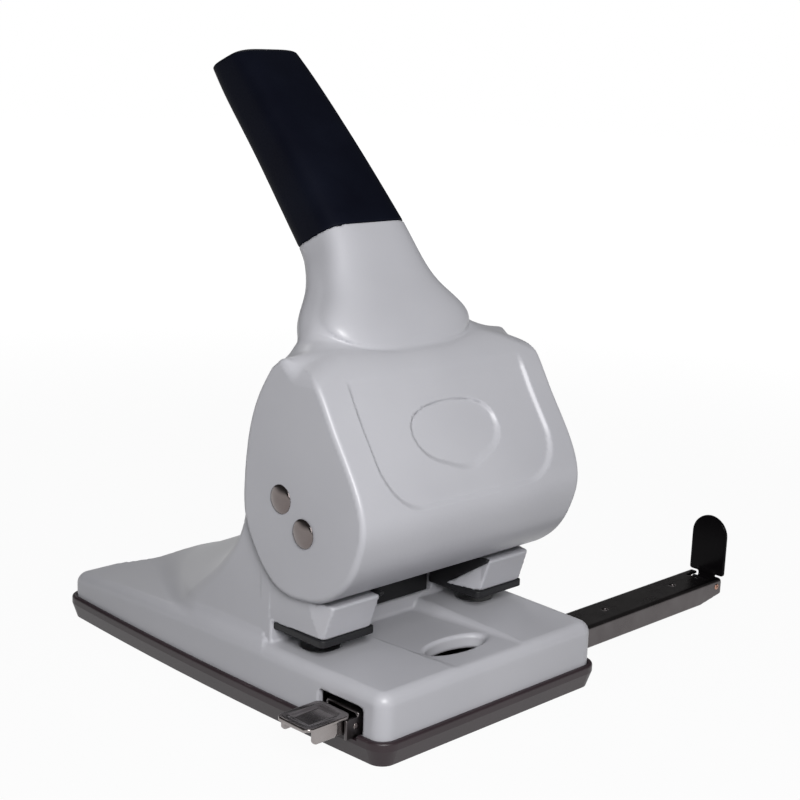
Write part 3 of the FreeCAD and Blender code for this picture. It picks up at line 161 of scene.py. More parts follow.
# ---- distance fields
# A field is negative inside; the last number given to both, either and without is the radius of the edge.
def smooth_curve(at, values, period=None):
    """A cubic curve through the values; it closes on itself if it has a period."""
    at, values = np.array(at, float), np.array(values, float)
    if period:
        at = np.concatenate([at - period, at, at + period])
        values = np.tile(values, 3)
    count, gap = len(at), np.diff(at)
    matrix, right = np.eye(count), np.zeros(count)
    for i in range(1, count - 1):
        matrix[i, i - 1:i + 2] = gap[i - 1], 2 * (gap[i - 1] + gap[i]), gap[i]
        right[i] = 6 * ((values[i + 1] - values[i]) / gap[i] - (values[i] - values[i - 1]) / gap[i - 1])
    bend = np.linalg.solve(matrix, right)

    def read(t):
        t = np.clip(t, at[0], at[-1])
        k = np.clip(np.searchsorted(at, t) - 1, 0, count - 2)
        a, b, h = at[k + 1] - t, t - at[k], gap[k]
        return ((bend[k] * a ** 3 + bend[k + 1] * b ** 3) / (6 * h)
                + (values[k] / h - bend[k] * h / 6) * a + (values[k + 1] / h - bend[k + 1] * h / 6) * b)
    return read


def smooth_lines(points):
    """One smooth curve for each coordinate of a line of points."""
    return [smooth_curve(np.arange(len(points)), line) for line in zip(*points)]


def both(a, b, radius):
    """Where both fields are inside, with the edge between them rounded."""
    return np.minimum(-radius, np.maximum(a, b)) + np.hypot(np.maximum(radius + a, 0), np.maximum(radius + b, 0))


def all_of(*fields):
    """Where every field is inside, with sharp edges."""
    return reduce(np.maximum, fields)


def any_of(*fields):
    """Where any of the fields is inside, with sharp corners."""
    return reduce(np.minimum, fields)


def either(a, b, radius):
    """Where either field is inside, with a fillet between them."""
    return np.maximum(radius, np.minimum(a, b)) - np.hypot(np.maximum(radius - a, 0), np.maximum(radius - b, 0))


def without(a, b, radius):
    return both(a, -b, radius)


def step_up(value, start, end):
    t = np.clip((value - start) / (end - start), 0, 1)
    return t * t * (3 - 2 * t)


def off_centre(value, centre, half):
    """Distance field of a slab about a centre."""
    return np.abs(value - centre) - half


def off_post(a, b, centre, radius):
    """Distance field of a round post about a centre, in any one view."""
    return np.hypot(a - centre[0], b - centre[1]) - radius


def block(x, y, z, low, high):
    """Distance field of a plain block; None leaves a side open."""
    field = -1e3
    for value, a, b in zip((x, y, z), low, high):
        if a is not None:
            field = np.maximum(field, a - value)
        if b is not None:
            field = np.maximum(field, value - b)
    return field


CORNERS = [(i, j, k) for i in (0, 1) for j in (0, 1) for k in (0, 1)]
CELL_EDGES = [(a, b) for a in range(8) for b in range(a + 1, 8)
              if sum(abs(p - q) for p, q in zip(CORNERS[a], CORNERS[b])) == 1]


def ruled(low, high, step):
    """Grid places from low to high: one step, or [coarse step, from, to, fine step]."""
    if not isinstance(step, list):
        return np.arange(low, high + step, step)
    coarse, start, end, fine = step
    return np.concatenate([np.arange(low, start, coarse), np.arange(start, end, fine),
                           np.arange(end, high + coarse, coarse)])


def cell_points(values, axes, cells):
    """One point in each cell that the surface crosses: the mean of its crossings."""
    at_corner = [values[tuple((cells + c).T)] for c in CORNERS]
    total, hits = np.zeros((len(cells), 3)), np.zeros(len(cells))
    for a, b in CELL_EDGES:
        cross = (at_corner[a] < 0) != (at_corner[b] < 0)
        share = np.where(cross, at_corner[a] / np.where(cross, at_corner[a] - at_corner[b], 1), 0)
        start, end = np.array(CORNERS[a]), np.array(CORNERS[b])
        total += (start + (end - start) * share[:, None]) * cross[:, None]
        hits += cross
    at = cells + total / hits[:, None]
    return np.stack([np.interp(at[:, k], np.arange(len(axes[k])), axes[k]) for k in range(3)], 1)


def cell_faces(inside, index):
    """A quad round each grid edge that the surface crosses, facing outwards."""
    shape, faces = inside.shape, []
    for axis in range(3):
        u, v = (axis + 1) % 3, (axis + 2) % 3
        before, after = np.moveaxis(inside, axis, 0)[:-1], np.moveaxis(inside, axis, 0)[1:]
        node = np.argwhere(np.moveaxis(before != after, 0, axis))
        node = node[(node[:, u] > 0) & (node[:, v] > 0) & (node[:, u] < shape[u] - 1) & (node[:, v] < shape[v] - 1)]
        ring = []
        for du, dv in ((-1, -1), (0, -1), (0, 0), (-1, 0)):
            cell = node.copy()
            cell[:, u] += du
            cell[:, v] += dv
            ring.append(index[tuple(cell.T)])
        ring = np.stack(ring, 1)
        outward = inside[tuple(node.T)]
        ring[~outward] = ring[~outward][:, ::-1]
        faces.append(ring)
    faces = np.concatenate(faces)
    return faces[(faces >= 0).all(1)]


def surface(name, field, low, high, step):
    """A mesh object of the field's zero level, each point set on the true surface."""
    axes = [ruled(a, b, s) for a, b, s in zip(low, high, step if isinstance(step, tuple) else (step,) * 3)]
    finest = min(np.diff(axis).min() for axis in axes)
    shape = [len(axis) for axis in axes]
    values = np.array(np.broadcast_to(field(*np.ix_(*axes)), shape))
    inside = values < 0
    count = sum(inside[i:shape[0] - 1 + i, j:shape[1] - 1 + j, k:shape[2] - 1 + k].astype(np.int8)
                for i, j, k in CORNERS)
    active = (count > 0) & (count < 8)
    cells = np.argwhere(active)
    index = np.full(active.shape, -1)
    index[active] = np.arange(len(cells))
    first = points = cell_points(values, axes, cells)
    faces = cell_faces(inside, index)
    for _ in range(DRAW_ROUNDS):
        distance = field(*points.T)
        slope = np.stack([field(*(points + shift).T) - field(*(points - shift).T)
                          for shift in np.eye(3) * SLOPE_REACH], 1) / (2 * SLOPE_REACH)
        steep = np.maximum((slope ** 2).sum(1), LEAST_SLOPE ** 2)
        move = -(distance / steep)[:, None] * slope
        length = np.maximum(np.linalg.norm(move, axis=1), 1e-9)
        points = points + move * np.minimum(1, DRAW_LIMIT * finest / length)[:, None]

    lost = np.linalg.norm(points - first, axis=1) > LOST_MOVE * finest
    points[lost] = first[lost]
    total, hits = np.zeros_like(points), np.zeros(len(points))
    for k in range(4):
        np.add.at(total, faces[:, k], points[faces[:, k - 1]])
        np.add.at(hits, faces[:, k], 1)
    middle = total / np.maximum(hits, 1)[:, None]
    lost = (np.linalg.norm(points - middle, axis=1) > LOST_BEND * finest) & (hits > 0)
    points[lost] = middle[lost]

    normals = slope / np.maximum(np.linalg.norm(slope, axis=1), 1e-9)[:, None]
    made = from_points(name, points, faces)
    plain = np.empty(len(points) * 3)
    made.data.vertices.foreach_get("normal", plain)
    plain = plain.reshape(-1, 3)
    astray = (normals * plain).sum(1) < NORMAL_AGREES
    normals[astray] = plain[astray]
    made.data.normals_split_custom_set_from_vertices(normals.tolist())
    return made


def placed(name, data):
    """A new object of the scene that holds this mesh, lamp or camera."""
    made = bpy.data.objects.new(name, data)
    bpy.context.scene.collection.objects.link(made)
    return made


def from_points(name, points, faces):
    """A smooth mesh object from points in millimetres."""
    mesh = bpy.data.meshes.new(name)
    mesh.from_pydata((np.asarray(points, float) * MM).tolist(), [], [list(map(int, f)) for f in faces])
    mesh.validate()
    mesh.shade_smooth()
    return placed(name, mesh)


def closed_tube(name, rings, first, last, reverse=False):
    """Rings of points joined into a tube, which a point closes at each end."""
    count = len(rings[0])
    points = np.concatenate([*rings, [first], [last]])
    bottom = (len(rings) - 1) * count
    faces = []
    for row in range(0, bottom, count):
        for i in range(count):
            j = (i + 1) % count
            faces.append((row + i, row + j, row + count + j, row + count + i))
    for i in range(count):
        j = (i + 1) % count
        faces += [(j, i, len(points) - 2), (bottom + i, bottom + j, len(points) - 1)]
    return from_points(name, points, [face[::-1] for face in faces] if reverse else faces)


# ---- lever head
head_radius = smooth_curve(*zip(*HEAD_OUTLINE), period=360.0)
edge_radius = smooth_curve(*zip(*HEAD_EDGE), period=360.0)
pick_radius = smooth_curve(*zip(*PICK_OUTLINE))


def head_side(y, z):
    """Distance of a side-view point from the head's outline, and its angle about the pivot."""
    angle = np.degrees(np.arctan2(z - PIVOT_Z, y - PIVOT_Y)) % 360
    radius = head_radius(angle)
    rate = (head_radius(angle + 1) - head_radius(angle - 1)) / math.radians(2)
    return off_post(y, z, PIVOT, radius) / np.sqrt(1 + (rate / radius) ** 2), angle


class Limb:
    """A limb with squarish sections between a front line and a back line."""
    rounds, nudge, flattest, longest_step = 7, 0.01, 1e-3, 0.6

    def __init__(self, front, back, widths, squareness, set_back=0.0):
        self.squareness, self.set_back = squareness, set_back
        self.front, self.back = smooth_lines(front), smooth_lines(back)
        self.width = smooth_curve(np.arange(len(widths)), widths)
        self.last = len(front) - 1

    def section(self, t, y, z):
        """Front point of a section, its way to the back, and how far a point is beyond it."""
        fy, fz = self.front[0](t), self.front[1](t)
        dy, dz = self.back[0](t) - fy, self.back[1](t) - fz
        return fy, fz, dy, dz, (dy * (z - fz) - dz * (y - fy)) / np.hypot(dy, dz)

    def off_line(self, t, y, z):
        return self.section(t, y, z)[-1]

    def place(self, y, z):
        """The section that a point lies on, and how far it is from the front (-1) to the back (1)."""
        share = np.clip((z - self.front[1](0)) / (self.back[1](self.last) - self.front[1](0)), -0.1, 1.1)
        t = share * self.last
        for _ in range(self.rounds):
            gap = self.off_line(t, y, z)
            rate = (self.off_line(t + self.nudge, y, z) - gap) / self.nudge
            rate = np.where(np.abs(rate) < self.flattest, -self.flattest, rate)
            t = np.clip(t - np.clip(gap / rate, -self.longest_step, self.longest_step), 0, self.last)
        fy, fz, dy, dz, beyond = self.section(t, y, z)
        depth = np.hypot(dy, dz)
        across = 2 * ((y - fy) * dy + (z - fz) * dz) / depth ** 2 - 1
        return t, across, depth / 2, beyond

    def field(self, x, y, z):
        t, across, depth, beyond = self.place(y, z)
        width, power = self.width(t), self.squareness
        u = np.abs(across) * depth / (depth - np.where(across < 0, self.set_back, 0.0))
        v = np.abs(x) / width
        q = np.maximum(v ** power + u ** power, 1e-6) ** (1 / power)
        slope = np.hypot(v ** (power - 1) / width, u ** (power - 1) / depth) / q ** (power - 1)
        return (q - 1) / np.maximum(slope, 0.02), t, beyond, across


shoulder = Limb(NECK_FRONT, NECK_BACK, SHOULDER_WIDTHS, SHOULDER_ROUND, SHOULDER_SET_BACK)
tongue = Limb(NECK_FRONT, NECK_BACK, TONGUE_WIDTHS, TONGUE_ROUND)


def pressed_in(x, y, z, panel_edge, pick_edge, ahead):
    """How deep the panel and the pick-shaped field go in at a point of the head."""
    panel = both(off_centre(x, PANEL_X, PANEL_HALF_WIDTH), PANEL_LOW_Z - z, PANEL_CORNER)
    turn = np.degrees(np.arctan2(z - PICK_Z, np.abs(x - PICK_X) + 1e-6))
    pick = off_post(x, z, (PICK_X, PICK_Z), pick_radius(turn)) * PICK_EASE
    depth = (PANEL_DEPTH * (1 - step_up(panel, *panel_edge)) * (1 - step_up(z, *PANEL_FADE_Z))
             + PICK_DEPTH * (1 - step_up(pick, *pick_edge)))
    return depth * step_up(-y, *ahead)


def open_sector(y, z):
    """The part of the head that is open towards the base."""
    sides = []
    for angle, turn in ((HEAD_OPEN_FROM, 90.0), (HEAD_OPEN_TO, -90.0)):
        way = math.radians(angle + turn)
        sides.append(-((y - PIVOT_Y) * math.cos(way) + (z - PIVOT_Z) * math.sin(way)))
    return all_of(*sides)


def lever_head_field(x, y, z):
    side, angle = head_side(y, z)
    wide, radius = np.abs(x), edge_radius(angle)
    barrel = both(side + pressed_in(x, y, z, *OUTER_PRESS), wide - HEAD_HALF_WIDTH, radius)
    low, t_low, under, _ = shoulder.field(x, y, z)
    low = all_of(low, -under - SHOULDER_BELOW)
    high, _, over, across = tongue.field(x, y, z)
    high = all_of(high, -over - TONGUE_BELOW)
    roof = z - ROOF_Z - ROOF_SLOPE * (HEAD_HALF_WIDTH - wide) - ROOF_LIFT * step_up(y, *ROOF_LIFT_Y)
    roof = roof / math.hypot(1, ROOF_SLOPE)
    flank = step_up(across, *FLANK_SPAN)
    stock = both(either(barrel, low, SHOULDER_FILLET + SHOULDER_FILLET_MORE * flank), roof, ROOF_EDGE)
    crease = CREASE_DEPTH * np.exp(-((stock - high) / CREASE_WIDTH) ** 2) * (1 - flank)
    body = either(stock, high, TONGUE_FILLET + TONGUE_FILLET_MORE * flank) + crease
    body = all_of(body, wide - HEAD_HALF_WIDTH)
    body = both(body, tongue.off_line(NECK_END, y, z), NECK_END_EDGE)

    between = wide - (HEAD_HALF_WIDTH - HEAD_WALL)
    hollow = both(side + HEAD_WALL + pressed_in(x, y, z, *INNER_PRESS), between,
                  np.maximum(radius - INNER_EDGE_LESS, INNER_EDGE_LEAST))
    hollow = any_of(hollow, all_of(open_sector(y, z), between))
    neck_hollow = all_of(low + WALL, (t_low - NECK_HOLLOW_END) * NECK_HOLLOW_SLOPE)
    hollow = both(any_of(hollow, neck_hollow), roof + HEAD_WALL, HOLLOW_ROUND)
    return without(body, hollow, HEAD_RIM_EDGE)


# ---- base casting
level_z, flank_y, tail_y = zip(*HUMP_LEVELS)
flank_line, tail_line = smooth_curve(level_z, flank_y), smooth_curve(level_z, tail_y)
BOW = (BASE_HALF_LENGTH ** 2 + SIDE_BULGE ** 2) / (2 * SIDE_BULGE)
DROP_RADIUS = ((BASE_MIDDLE_Y + BASE_HALF_LENGTH - STOP_Y) ** 2 + BASE_DROP ** 2) / (2 * BASE_DROP)


def plan(x, y):
    bowed = np.hypot(np.abs(x) - (BASE_HALF_WIDTH + SIDE_BULGE - BOW), y - BASE_MIDDLE_Y) - BOW
    return both(bowed, off_centre(y, BASE_MIDDLE_Y, BASE_HALF_LENGTH), BASE_CORNER)


def deck_z(y):
    return TABLE_Z - DROP_RADIUS + np.sqrt(DROP_RADIUS ** 2 - np.maximum(y - STOP_Y, 0) ** 2)


def hump_field(x, y, z):
    share = 1 - (x / TOWER_OUT) ** 2
    flank, tail = flank_line(z), tail_line(z)
    back = flank + (tail - flank) * share
    run = 2 * x / TOWER_OUT ** 2 * (tail - flank)
    rise = ((flank_line(z + 0.5) - flank_line(z - 0.5)) * (1 - share)
            + (tail_line(z + 0.5) - tail_line(z - 0.5)) * share)
    return (y - back) / np.sqrt(1 + run ** 2 + rise ** 2)


def beak_profile(y, z):
    """Side view of the towers' front: a leaning face under the clearance of the head."""
    lean = (BEAK_FRONT_Y - BEAK_LEAN * (z - BEAK_Z) - y) / math.hypot(1, BEAK_LEAN)
    under_head = np.where(y < TOWER_FRONT_Y, -off_post(y, z, PIVOT, BEAK_ARC), FAR_INSIDE)
    wall = np.where(z > TOWER_FRONT_Z, TOWER_FRONT_Y - y, FAR_INSIDE)
    return all_of(lean, under_head, wall)


def beak_ramp(y, z):
    """Height over the sloping top of the wedge that widens each beak inwards, towards its back."""
    return (z - BEAK_Z - RAMP_SLOPE * (RAMP_Y - y)) / RAMP_LENGTH


def beyond_plane(x, y, z, plane):
    return plane[0] * x + plane[1] * y + plane[2] * z - plane[3]


def tower_field(x, y, z):
    """Both towers, in side view between two faces."""
    wide = np.abs(x)
    solid = all_of(beak_profile(y, z), BEAK_Z - z)
    facets = all_of(beyond_plane(wide, y, z, BEAK_CORNER), beyond_plane(wide, y, z, BEAK_NOSE))
    solid = both(solid, facets, BEAK_EDGE)
    solid = both(solid, wide - TOWER_OUT, TOWER_EDGE)
    toe = (TOWER_IN - TOE_TAPER * (y - TOE_Y) - wide) / TOE_LENGTH
    inner = any_of(TOWER_IN - wide, all_of(toe, beak_ramp(y, z)))
    solid = both(solid, inner, POCKET_EDGE)
    solid = all_of(solid, y - (HUMP_FRONT_Y + TOWER_INTO_HUMP), z - TOWER_TOP_Z)
    boss = all_of(off_post(y, z, PIVOT, BOSS_RADIUS), wide - TOWER_OUT, BOSS_IN - wide)
    solid = any_of(solid, boss)
    return without(solid, any_of(block(wide, y, z, *POCKET), block(wide, y, z, *BAR_WAY)), POCKET_EDGE)


def base_field(x, y, z):
    wide, edge, hump = np.abs(x), plan(x, y), hump_field(x, y, z)
    outside = both(edge, z - deck_z(y), BASE_EDGE)
    swell = all_of(both(hump, wide - TOWER_OUT, HUMP_EDGE), HUMP_FRONT_Y - y, z - HUMP_TOP_Z)
    outside = either(outside, swell, HUMP_FILLET)
    walls = [block(wide, y, z, *limits) for limits in (LEDGE, TOWER_ROOT, TOWER_REAR, SCREEN)]
    outside = either(outside, any_of(*walls), TOWER_FILLET)
    outside = either(outside, tower_field(x, y, z), TOWER_FILLET)

    below = all_of(edge + WALL, z - deck_z(y) + WALL)
    inner = both(hump + WALL, all_of(wide - TOWER_OUT + WALL, HUMP_FRONT_Y - y), HUMP_INSIDE_EDGE)
    hollow = any_of(below, all_of(inner, z - HUMP_INSIDE_Z))
    pads = block(wide, y, z, *RULER_PAD)
    for centre, radius, foot in DIE_SEATS:
        pads = any_of(pads, all_of(off_post(wide, y, centre, radius), foot - z))
    shell = without(outside, all_of(hollow, -pads), SMALL_EDGE)

    floor = TABLE_Z - SCOOP_DEPTH + SCOOP_RISE * np.clip((STOP_Y - y) / SCOOP_LENGTH, 0, 1)
    sloping = (wide - SCOOP_HALF_WIDTH - SCOOP_FLARE * (z - floor)) / SCOOP_FLARE_LENGTH
    scoop = all_of(both(floor - z, sloping, SCOOP_ROUND), y - STOP_Y, SCOOP_FRONT_Y - y, z - SCOOP_TOP_Z)
    shell = without(shell, scoop, SCOOP_EDGE)
    window = (np.hypot(x / WINDOW_HALF_X, (y - WINDOW_Y) / WINDOW_HALF_Y) - 1) * WINDOW_EASE
    shell = without(shell, window, WINDOW_EDGE)
    shell = without(shell, block(wide, y, z, *RULER_WAY), SMALL_EDGE)
    for radius, foot in DIE_BORES:
        shell = all_of(shell, -all_of(off_post(wide, y, PUNCH, radius), foot - z, z - DIE_BORE_TOP_Z))
    shell = without(shell, off_post(x, y, (0.0, REAR_CUT_Y), REAR_CUT_RADIUS), REAR_CUT_EDGE)
    return both(shell, BASE_LOW_Z - z, LOW_EDGE)


def plate_field(x, y, z):
    """Steel foot under each beak, and the strip that rises from it on the inner side."""
    wide = np.abs(x)
    foot = both(off_centre(wide, FOOT_X, FOOT_HALF_WIDTH), FOOT_FRONT_Y - y, FOOT_CORNER)
    foot = all_of(both(foot, off_centre(z, FOOT_MIDDLE_Z, FOOT_HALF_SHEET), FOOT_EDGE), y - STOP_Y)
    strip = all_of(STRIP_IN - wide, wide - TOWER_IN, y - STOP_Y, off_centre(z, STRIP_MIDDLE_Z, STRIP_HALF_HEIGHT),
                   beak_profile(y, z), STRIP_OFF_RAMP - beak_ramp(y, z))
    plate = all_of(any_of(foot, strip), -off_post(wide, y, PUNCH, FOOT_BORE))
    screw = np.hypot(wide - SINK_X, off_centre(y, SINK_Y, SINK_APART))
    return all_of(plate, np.maximum(SINK_BORE, SINK_WIDE - SINK_SLOPE * (z - SINK_Z)) - screw)


head = surface("lever_head", lever_head_field, (-58, -82, 42), (58, 10, 176), (0.85, 1.15, 0.85))
base = surface("base_casting", base_field, (-61, -94, 1), (61, 98, 93),
               (1.15, [1.3, -80.0, -27.0, 0.85], [1.3, 19.0, 49.0, 0.85]))
plates = surface("beak_plates", plate_field, (-53.5, -62.5, 29.5), (53.5, -29.0, 56.0), 0.7)


# ---- paper guide, its latch and its flap
RULER_FRONT, RULER_BACK, RULER_TOP, RULER_LOW, SHEET = -79.3, -63.0, 17.0, 8.2, 1.2
RULER_MIDDLE = (RULER_FRONT + RULER_BACK) / 2
RULER_HALF = (RULER_BACK - RULER_FRONT) / 2
RULER_LEFT, RULER_RIGHT, WEB_LEFT, WEB_LOW = -61.5, 154.6, -56.0, 15.4
RULER_BEND, RULER_INNER_BEND = 1.5, 0.6
TAPER_RISE, TAPER_LENGTH = 2.2, 14.0
SLOT_LENGTH, SLOT_HALF, SLOT_LOW = 8.0, 4.4, 12.0
MARK_COUNT, MARK_FROM_END, MARK_PITCH, MARK_RADIUS = 4, 24.0, 45.0, 1.2
LATCH_PIN = (-57.0, 12.4)
LATCH_X, LATCH_HALF, LATCH_CORNER = -68.65, 9.85, 2.5
DISH_HALF, DISH_INSET, DISH_CORNER, DISH_SPAN, DISH_DEPTH, DISH_BELOW = 7.4, 2.4, 2.0, (-2.0, 0.6), 0.75, 0.55
CURL, CURL_RADIUS, CURL_INSET, CURL_END = (-77.9, 16.1), 0.85, 1.6, 0.7
LEG_X, LEG_HALF, LEG_LOW, LEG_TOP, LEG_CORNER = -70.5, 5.5, 11.0, 16.4, 1.6
ARM_LEFT, ARM_RISE_RIGHT, ARM_LOW, ARM_TOP, ARM_HALF, ARM_GAP = -66.0, -58.9, 10.4, 16.2, 2.2, 0.4
LATCH_BORE, FLAP_BORE = 1.25, 1.35
FLAP_PIN = (151.2, 14.0)
FLAP_X, FLAP_HALF_SHEET, FLAP_HALF_WIDTH, FLAP_LOW, FLAP_ROUND_Z = 155.4, 0.8, 8.5, 17.4, 34.2
EAR_HALF_WIDTH, EAR_LOW, EAR_TOP = 4.0, 13.0, 19.0
KNUCKLE_RADIUS, FLAP_WEB_HALF = 2.4, 1.2


def ruler_field(x, y, z):
    """An upside-down folded channel with round bends, cut away at both ends."""
    across = off_centre(y, RULER_MIDDLE, RULER_HALF)
    outside = both(across, z - RULER_TOP, RULER_BEND)
    inside = both(across + SHEET, z - RULER_TOP + SHEET, RULER_INNER_BEND)
    low = RULER_LOW + TAPER_RISE * np.clip((x - RULER_RIGHT + TAPER_LENGTH) / TAPER_LENGTH, 0, 1)
    body = both(outside, low - z, 0.4)
    body = both(body, all_of(RULER_LEFT - x, x - RULER_RIGHT), 0.5)
    body = without(body, inside, 0.25)
    body = all_of(body, -all_of(x - WEB_LEFT, WEB_LOW - z))
    slot = block(x, y, z, (RULER_RIGHT - SLOT_LENGTH, RULER_MIDDLE - SLOT_HALF, SLOT_LOW),
                 (None, RULER_MIDDLE + SLOT_HALF, None))
    body = without(body, slot, 0.3)
    for step in range(MARK_COUNT):
        mark = (RULER_RIGHT - MARK_FROM_END - MARK_PITCH * step, RULER_MIDDLE)
        body = without(body, off_post(x, y, mark, MARK_RADIUS), 0.3)
    return body


def latch_field(x, y, z):
    """A dished tab with a curled end, two legs beside the ruler and two arms to its pin."""
    side, over = np.abs(y - RULER_MIDDLE), off_centre(y, RULER_MIDDLE, RULER_HALF)
    plate = both(over, off_centre(x, LATCH_X, LATCH_HALF), LATCH_CORNER)
    plate = both(plate, z - RULER_TOP, 0.35)
    dish = both(over + DISH_INSET, off_centre(x, LATCH_X, DISH_HALF), DISH_CORNER)
    dish = 1 - step_up(dish, *DISH_SPAN)
    plate = all_of(plate + DISH_DEPTH * dish, RULER_TOP - SHEET - DISH_BELOW * dish - z)
    curl = both(off_post(x, z, CURL, CURL_RADIUS), over + CURL_INSET, CURL_END)
    body = either(plate, curl, 0.4)
    legs = both(np.abs(over + SHEET / 2) - SHEET / 2,
                both(off_centre(x, LEG_X, LEG_HALF), LEG_LOW - z, LEG_CORNER), 0.2)
    body = either(body, all_of(legs, z - LEG_TOP), 0.3)
    eye = off_post(x, z, LATCH_PIN, ARM_HALF)
    arm = block(x, y, z, (ARM_LEFT, None, LATCH_PIN[1] - ARM_HALF), (LATCH_PIN[0], None, LATCH_PIN[1] + ARM_HALF))
    rise = block(x, y, z, (ARM_LEFT, None, ARM_LOW), (ARM_RISE_RIGHT, None, ARM_TOP))
    arm = any_of(arm, rise, eye)
    arm = both(arm, off_centre(side, RULER_HALF - SHEET - ARM_GAP - SHEET / 2, SHEET / 2), 0.2)
    body = either(body, arm, 0.25)
    return all_of(body, -off_post(x, z, LATCH_PIN, LATCH_BORE))


def flap_field(x, y, z):
    """An upright plate with a round top, and the knuckle that turns on the ruler's pin."""
    side, sheet = np.abs(y - RULER_MIDDLE), off_centre(x, FLAP_X, FLAP_HALF_SHEET)
    round_top = np.hypot(side, np.maximum(z - FLAP_ROUND_Z, 0)) - FLAP_HALF_WIDTH
    panel = both(both(round_top, FLAP_LOW - z, 1.2), sheet, 0.5)
    ear = all_of(both(both(side - EAR_HALF_WIDTH, EAR_LOW - z, 0.6), sheet, 0.4), z - EAR_TOP)
    knuckle = both(off_post(x, z, FLAP_PIN, KNUCKLE_RADIUS), side - EAR_HALF_WIDTH, 0.4)
    web = all_of(off_centre(z, FLAP_PIN[1], FLAP_WEB_HALF), side - EAR_HALF_WIDTH,
                 FLAP_PIN[0] - x, x - FLAP_X - FLAP_HALF_SHEET)
    body = either(either(panel, ear, 0.6), either(knuckle, web, 0.5), 0.4)
    return all_of(body, -off_post(x, z, FLAP_PIN, FLAP_BORE))


ruler = surface("paper_guide", ruler_field, (-62.5, -80.3, 7.2), (155.6, -62.0, 18.0), 0.6)
latch = surface("guide_latch", latch_field, (-79.8, -80.3, 9.5), (-53.8, -62.0, 18.0), 0.4)
flap = surface("end_stop", flap_field, (147.5, -80.7, 10.5), (157.2, -61.5, 43.7), 0.5)


# ---- grip
def squarish_ring(front, back, width, inset=0.0, lift=0.0):
    """Points round a squarish section between a front and a back point."""
    front, back = np.array(front), np.array(back)
    way = (back - front) / np.linalg.norm(back - front)
    front, back = front + way * inset, back - way * inset
    turn = np.arange(GRIP_POINTS) * 2 * math.pi / GRIP_POINTS
    across, deep = (np.sign(wave) * np.abs(wave) ** GRIP_POWER for wave in (np.cos(turn), np.sin(turn)))
    line = (front + back) / 2 + (back - front) / 2 * deep[:, None]
    return np.column_stack([across * (width - inset), line]) + GRIP_AXIS * lift


def handle_grip():
    """A soft sleeve: a small rolled lip at the neck, a gently tapered body and a domed end."""
    front, back = smooth_lines(GRIP_FRONT), smooth_lines(GRIP_BACK)
    width, last = smooth_curve(np.arange(len(GRIP_WIDTHS)), GRIP_WIDTHS), len(GRIP_WIDTHS) - 1
    body = [(0.0, t) for t in np.linspace(GRIP_BODY_FROM, last, GRIP_BODY_RINGS)]
    rings = [squarish_ring((front[0](t), front[1](t)), (back[0](t), back[1](t)), float(width(t)), inset)
             for inset, t in (*GRIP_LIP, *body)]
    for turn in np.linspace(0, math.pi / 2, GRIP_END_RINGS)[1:]:
        rings.append(squarish_ring(GRIP_FRONT[-1], GRIP_BACK[-1], GRIP_WIDTHS[-1],
                                   GRIP_END_ROUND * (1 - math.cos(turn)), GRIP_END_RISE * math.sin(turn)))
    cap = rings[-1]
    centre = cap.mean(0) + GRIP_AXIS * GRIP_CAP_SHIFT
    for share in GRIP_CAP_SHARES:
        rings.append(centre + (cap - centre) * share + GRIP_AXIS * GRIP_CAP_DOME * (1 - share))
    return closed_tube("grip_sleeve", rings, rings[0].mean(0), centre + GRIP_AXIS * GRIP_CAP_DOME, reverse=True)


grip = handle_grip()


# ---- turned pins
PIN_RADIUS, PIN_HEAD_RADIUS, PIN_HEAD_RISE, CAP_BORE = 3.98, 5.2, 1.4, 4.02
HEAD_SHARES, HEAD_DOME, HEAD_RIM, HEAD_ROUND = (0.08, 0.2, 0.35, 0.5, 0.7, 0.85, 1.0), 0.8, 0.9, 0.985
PIN_PAST_CAP, PIN_CHAMFER, PIN_CHAMFER_LENGTH = 0.5, 0.4, 0.05
RIVET_PAST, RIVET_SPREAD = 0.3, ((0.0, 0.0), (0.0, 0.6), (0.12, 0.92), (0.3, 1.0))
PIVOT_END_X, DRIVE_END_X = 55.7, 55.4
DRIVE_REACH, DRIVE_ANGLE = 15.42, math.radians(37.1)
DRIVE_Y, DRIVE_Z = PIVOT_Y + DRIVE_REACH * math.cos(DRIVE_ANGLE), PIVOT_Z + DRIVE_REACH * math.sin(DRIVE_ANGLE)


def turned(name, profile, centre, axis, count=48):
    """A body turned about an axis: the profile gives (along, radius) pairs from end to end."""
    turn = np.arange(count) * 2 * math.pi / count
    rings = []
    for a, r in profile:
        ring = np.zeros((count, 3))
        ring[:, axis] = a
        ring[:, (axis + 1) % 3] = np.cos(turn) * r
        ring[:, (axis + 2) % 3] = np.sin(turn) * r
        rings.append(ring + np.array(centre))
    ends = np.zeros((2, 3))
    ends[:, axis] = profile[0][0], profile[-1][0]
    return closed_tube(name, rings, *(ends + np.array(centre)))


def domed_head(end_x, side):
    """Profile of a riveted pin head that stands on end_x: a low dome that rounds over at its rim."""
    rows = [(HEAD_DOME * PIN_HEAD_RISE * share ** 2, PIN_HEAD_RADIUS * HEAD_ROUND * share) for share in HEAD_SHARES]
    rows += [(HEAD_RIM * PIN_HEAD_RISE, PIN_HEAD_RADIUS), (PIN_HEAD_RISE, PIN_HEAD_RADIUS)]
    return [(side * (end_x + PIN_HEAD_RISE - back), r) for back, r in rows]


def cross_pin(name, y, z, end_x):
    """The pin with its riveted left head, as one turned piece."""
    tip = end_x + PIN_PAST_CAP
    shank = [(-end_x, PIN_RADIUS), (tip - PIN_CHAMFER_LENGTH, PIN_RADIUS), (tip, PIN_RADIUS - PIN_CHAMFER)]
    return turned(name, domed_head(end_x, -1) + shank, (0, y, z), 0)


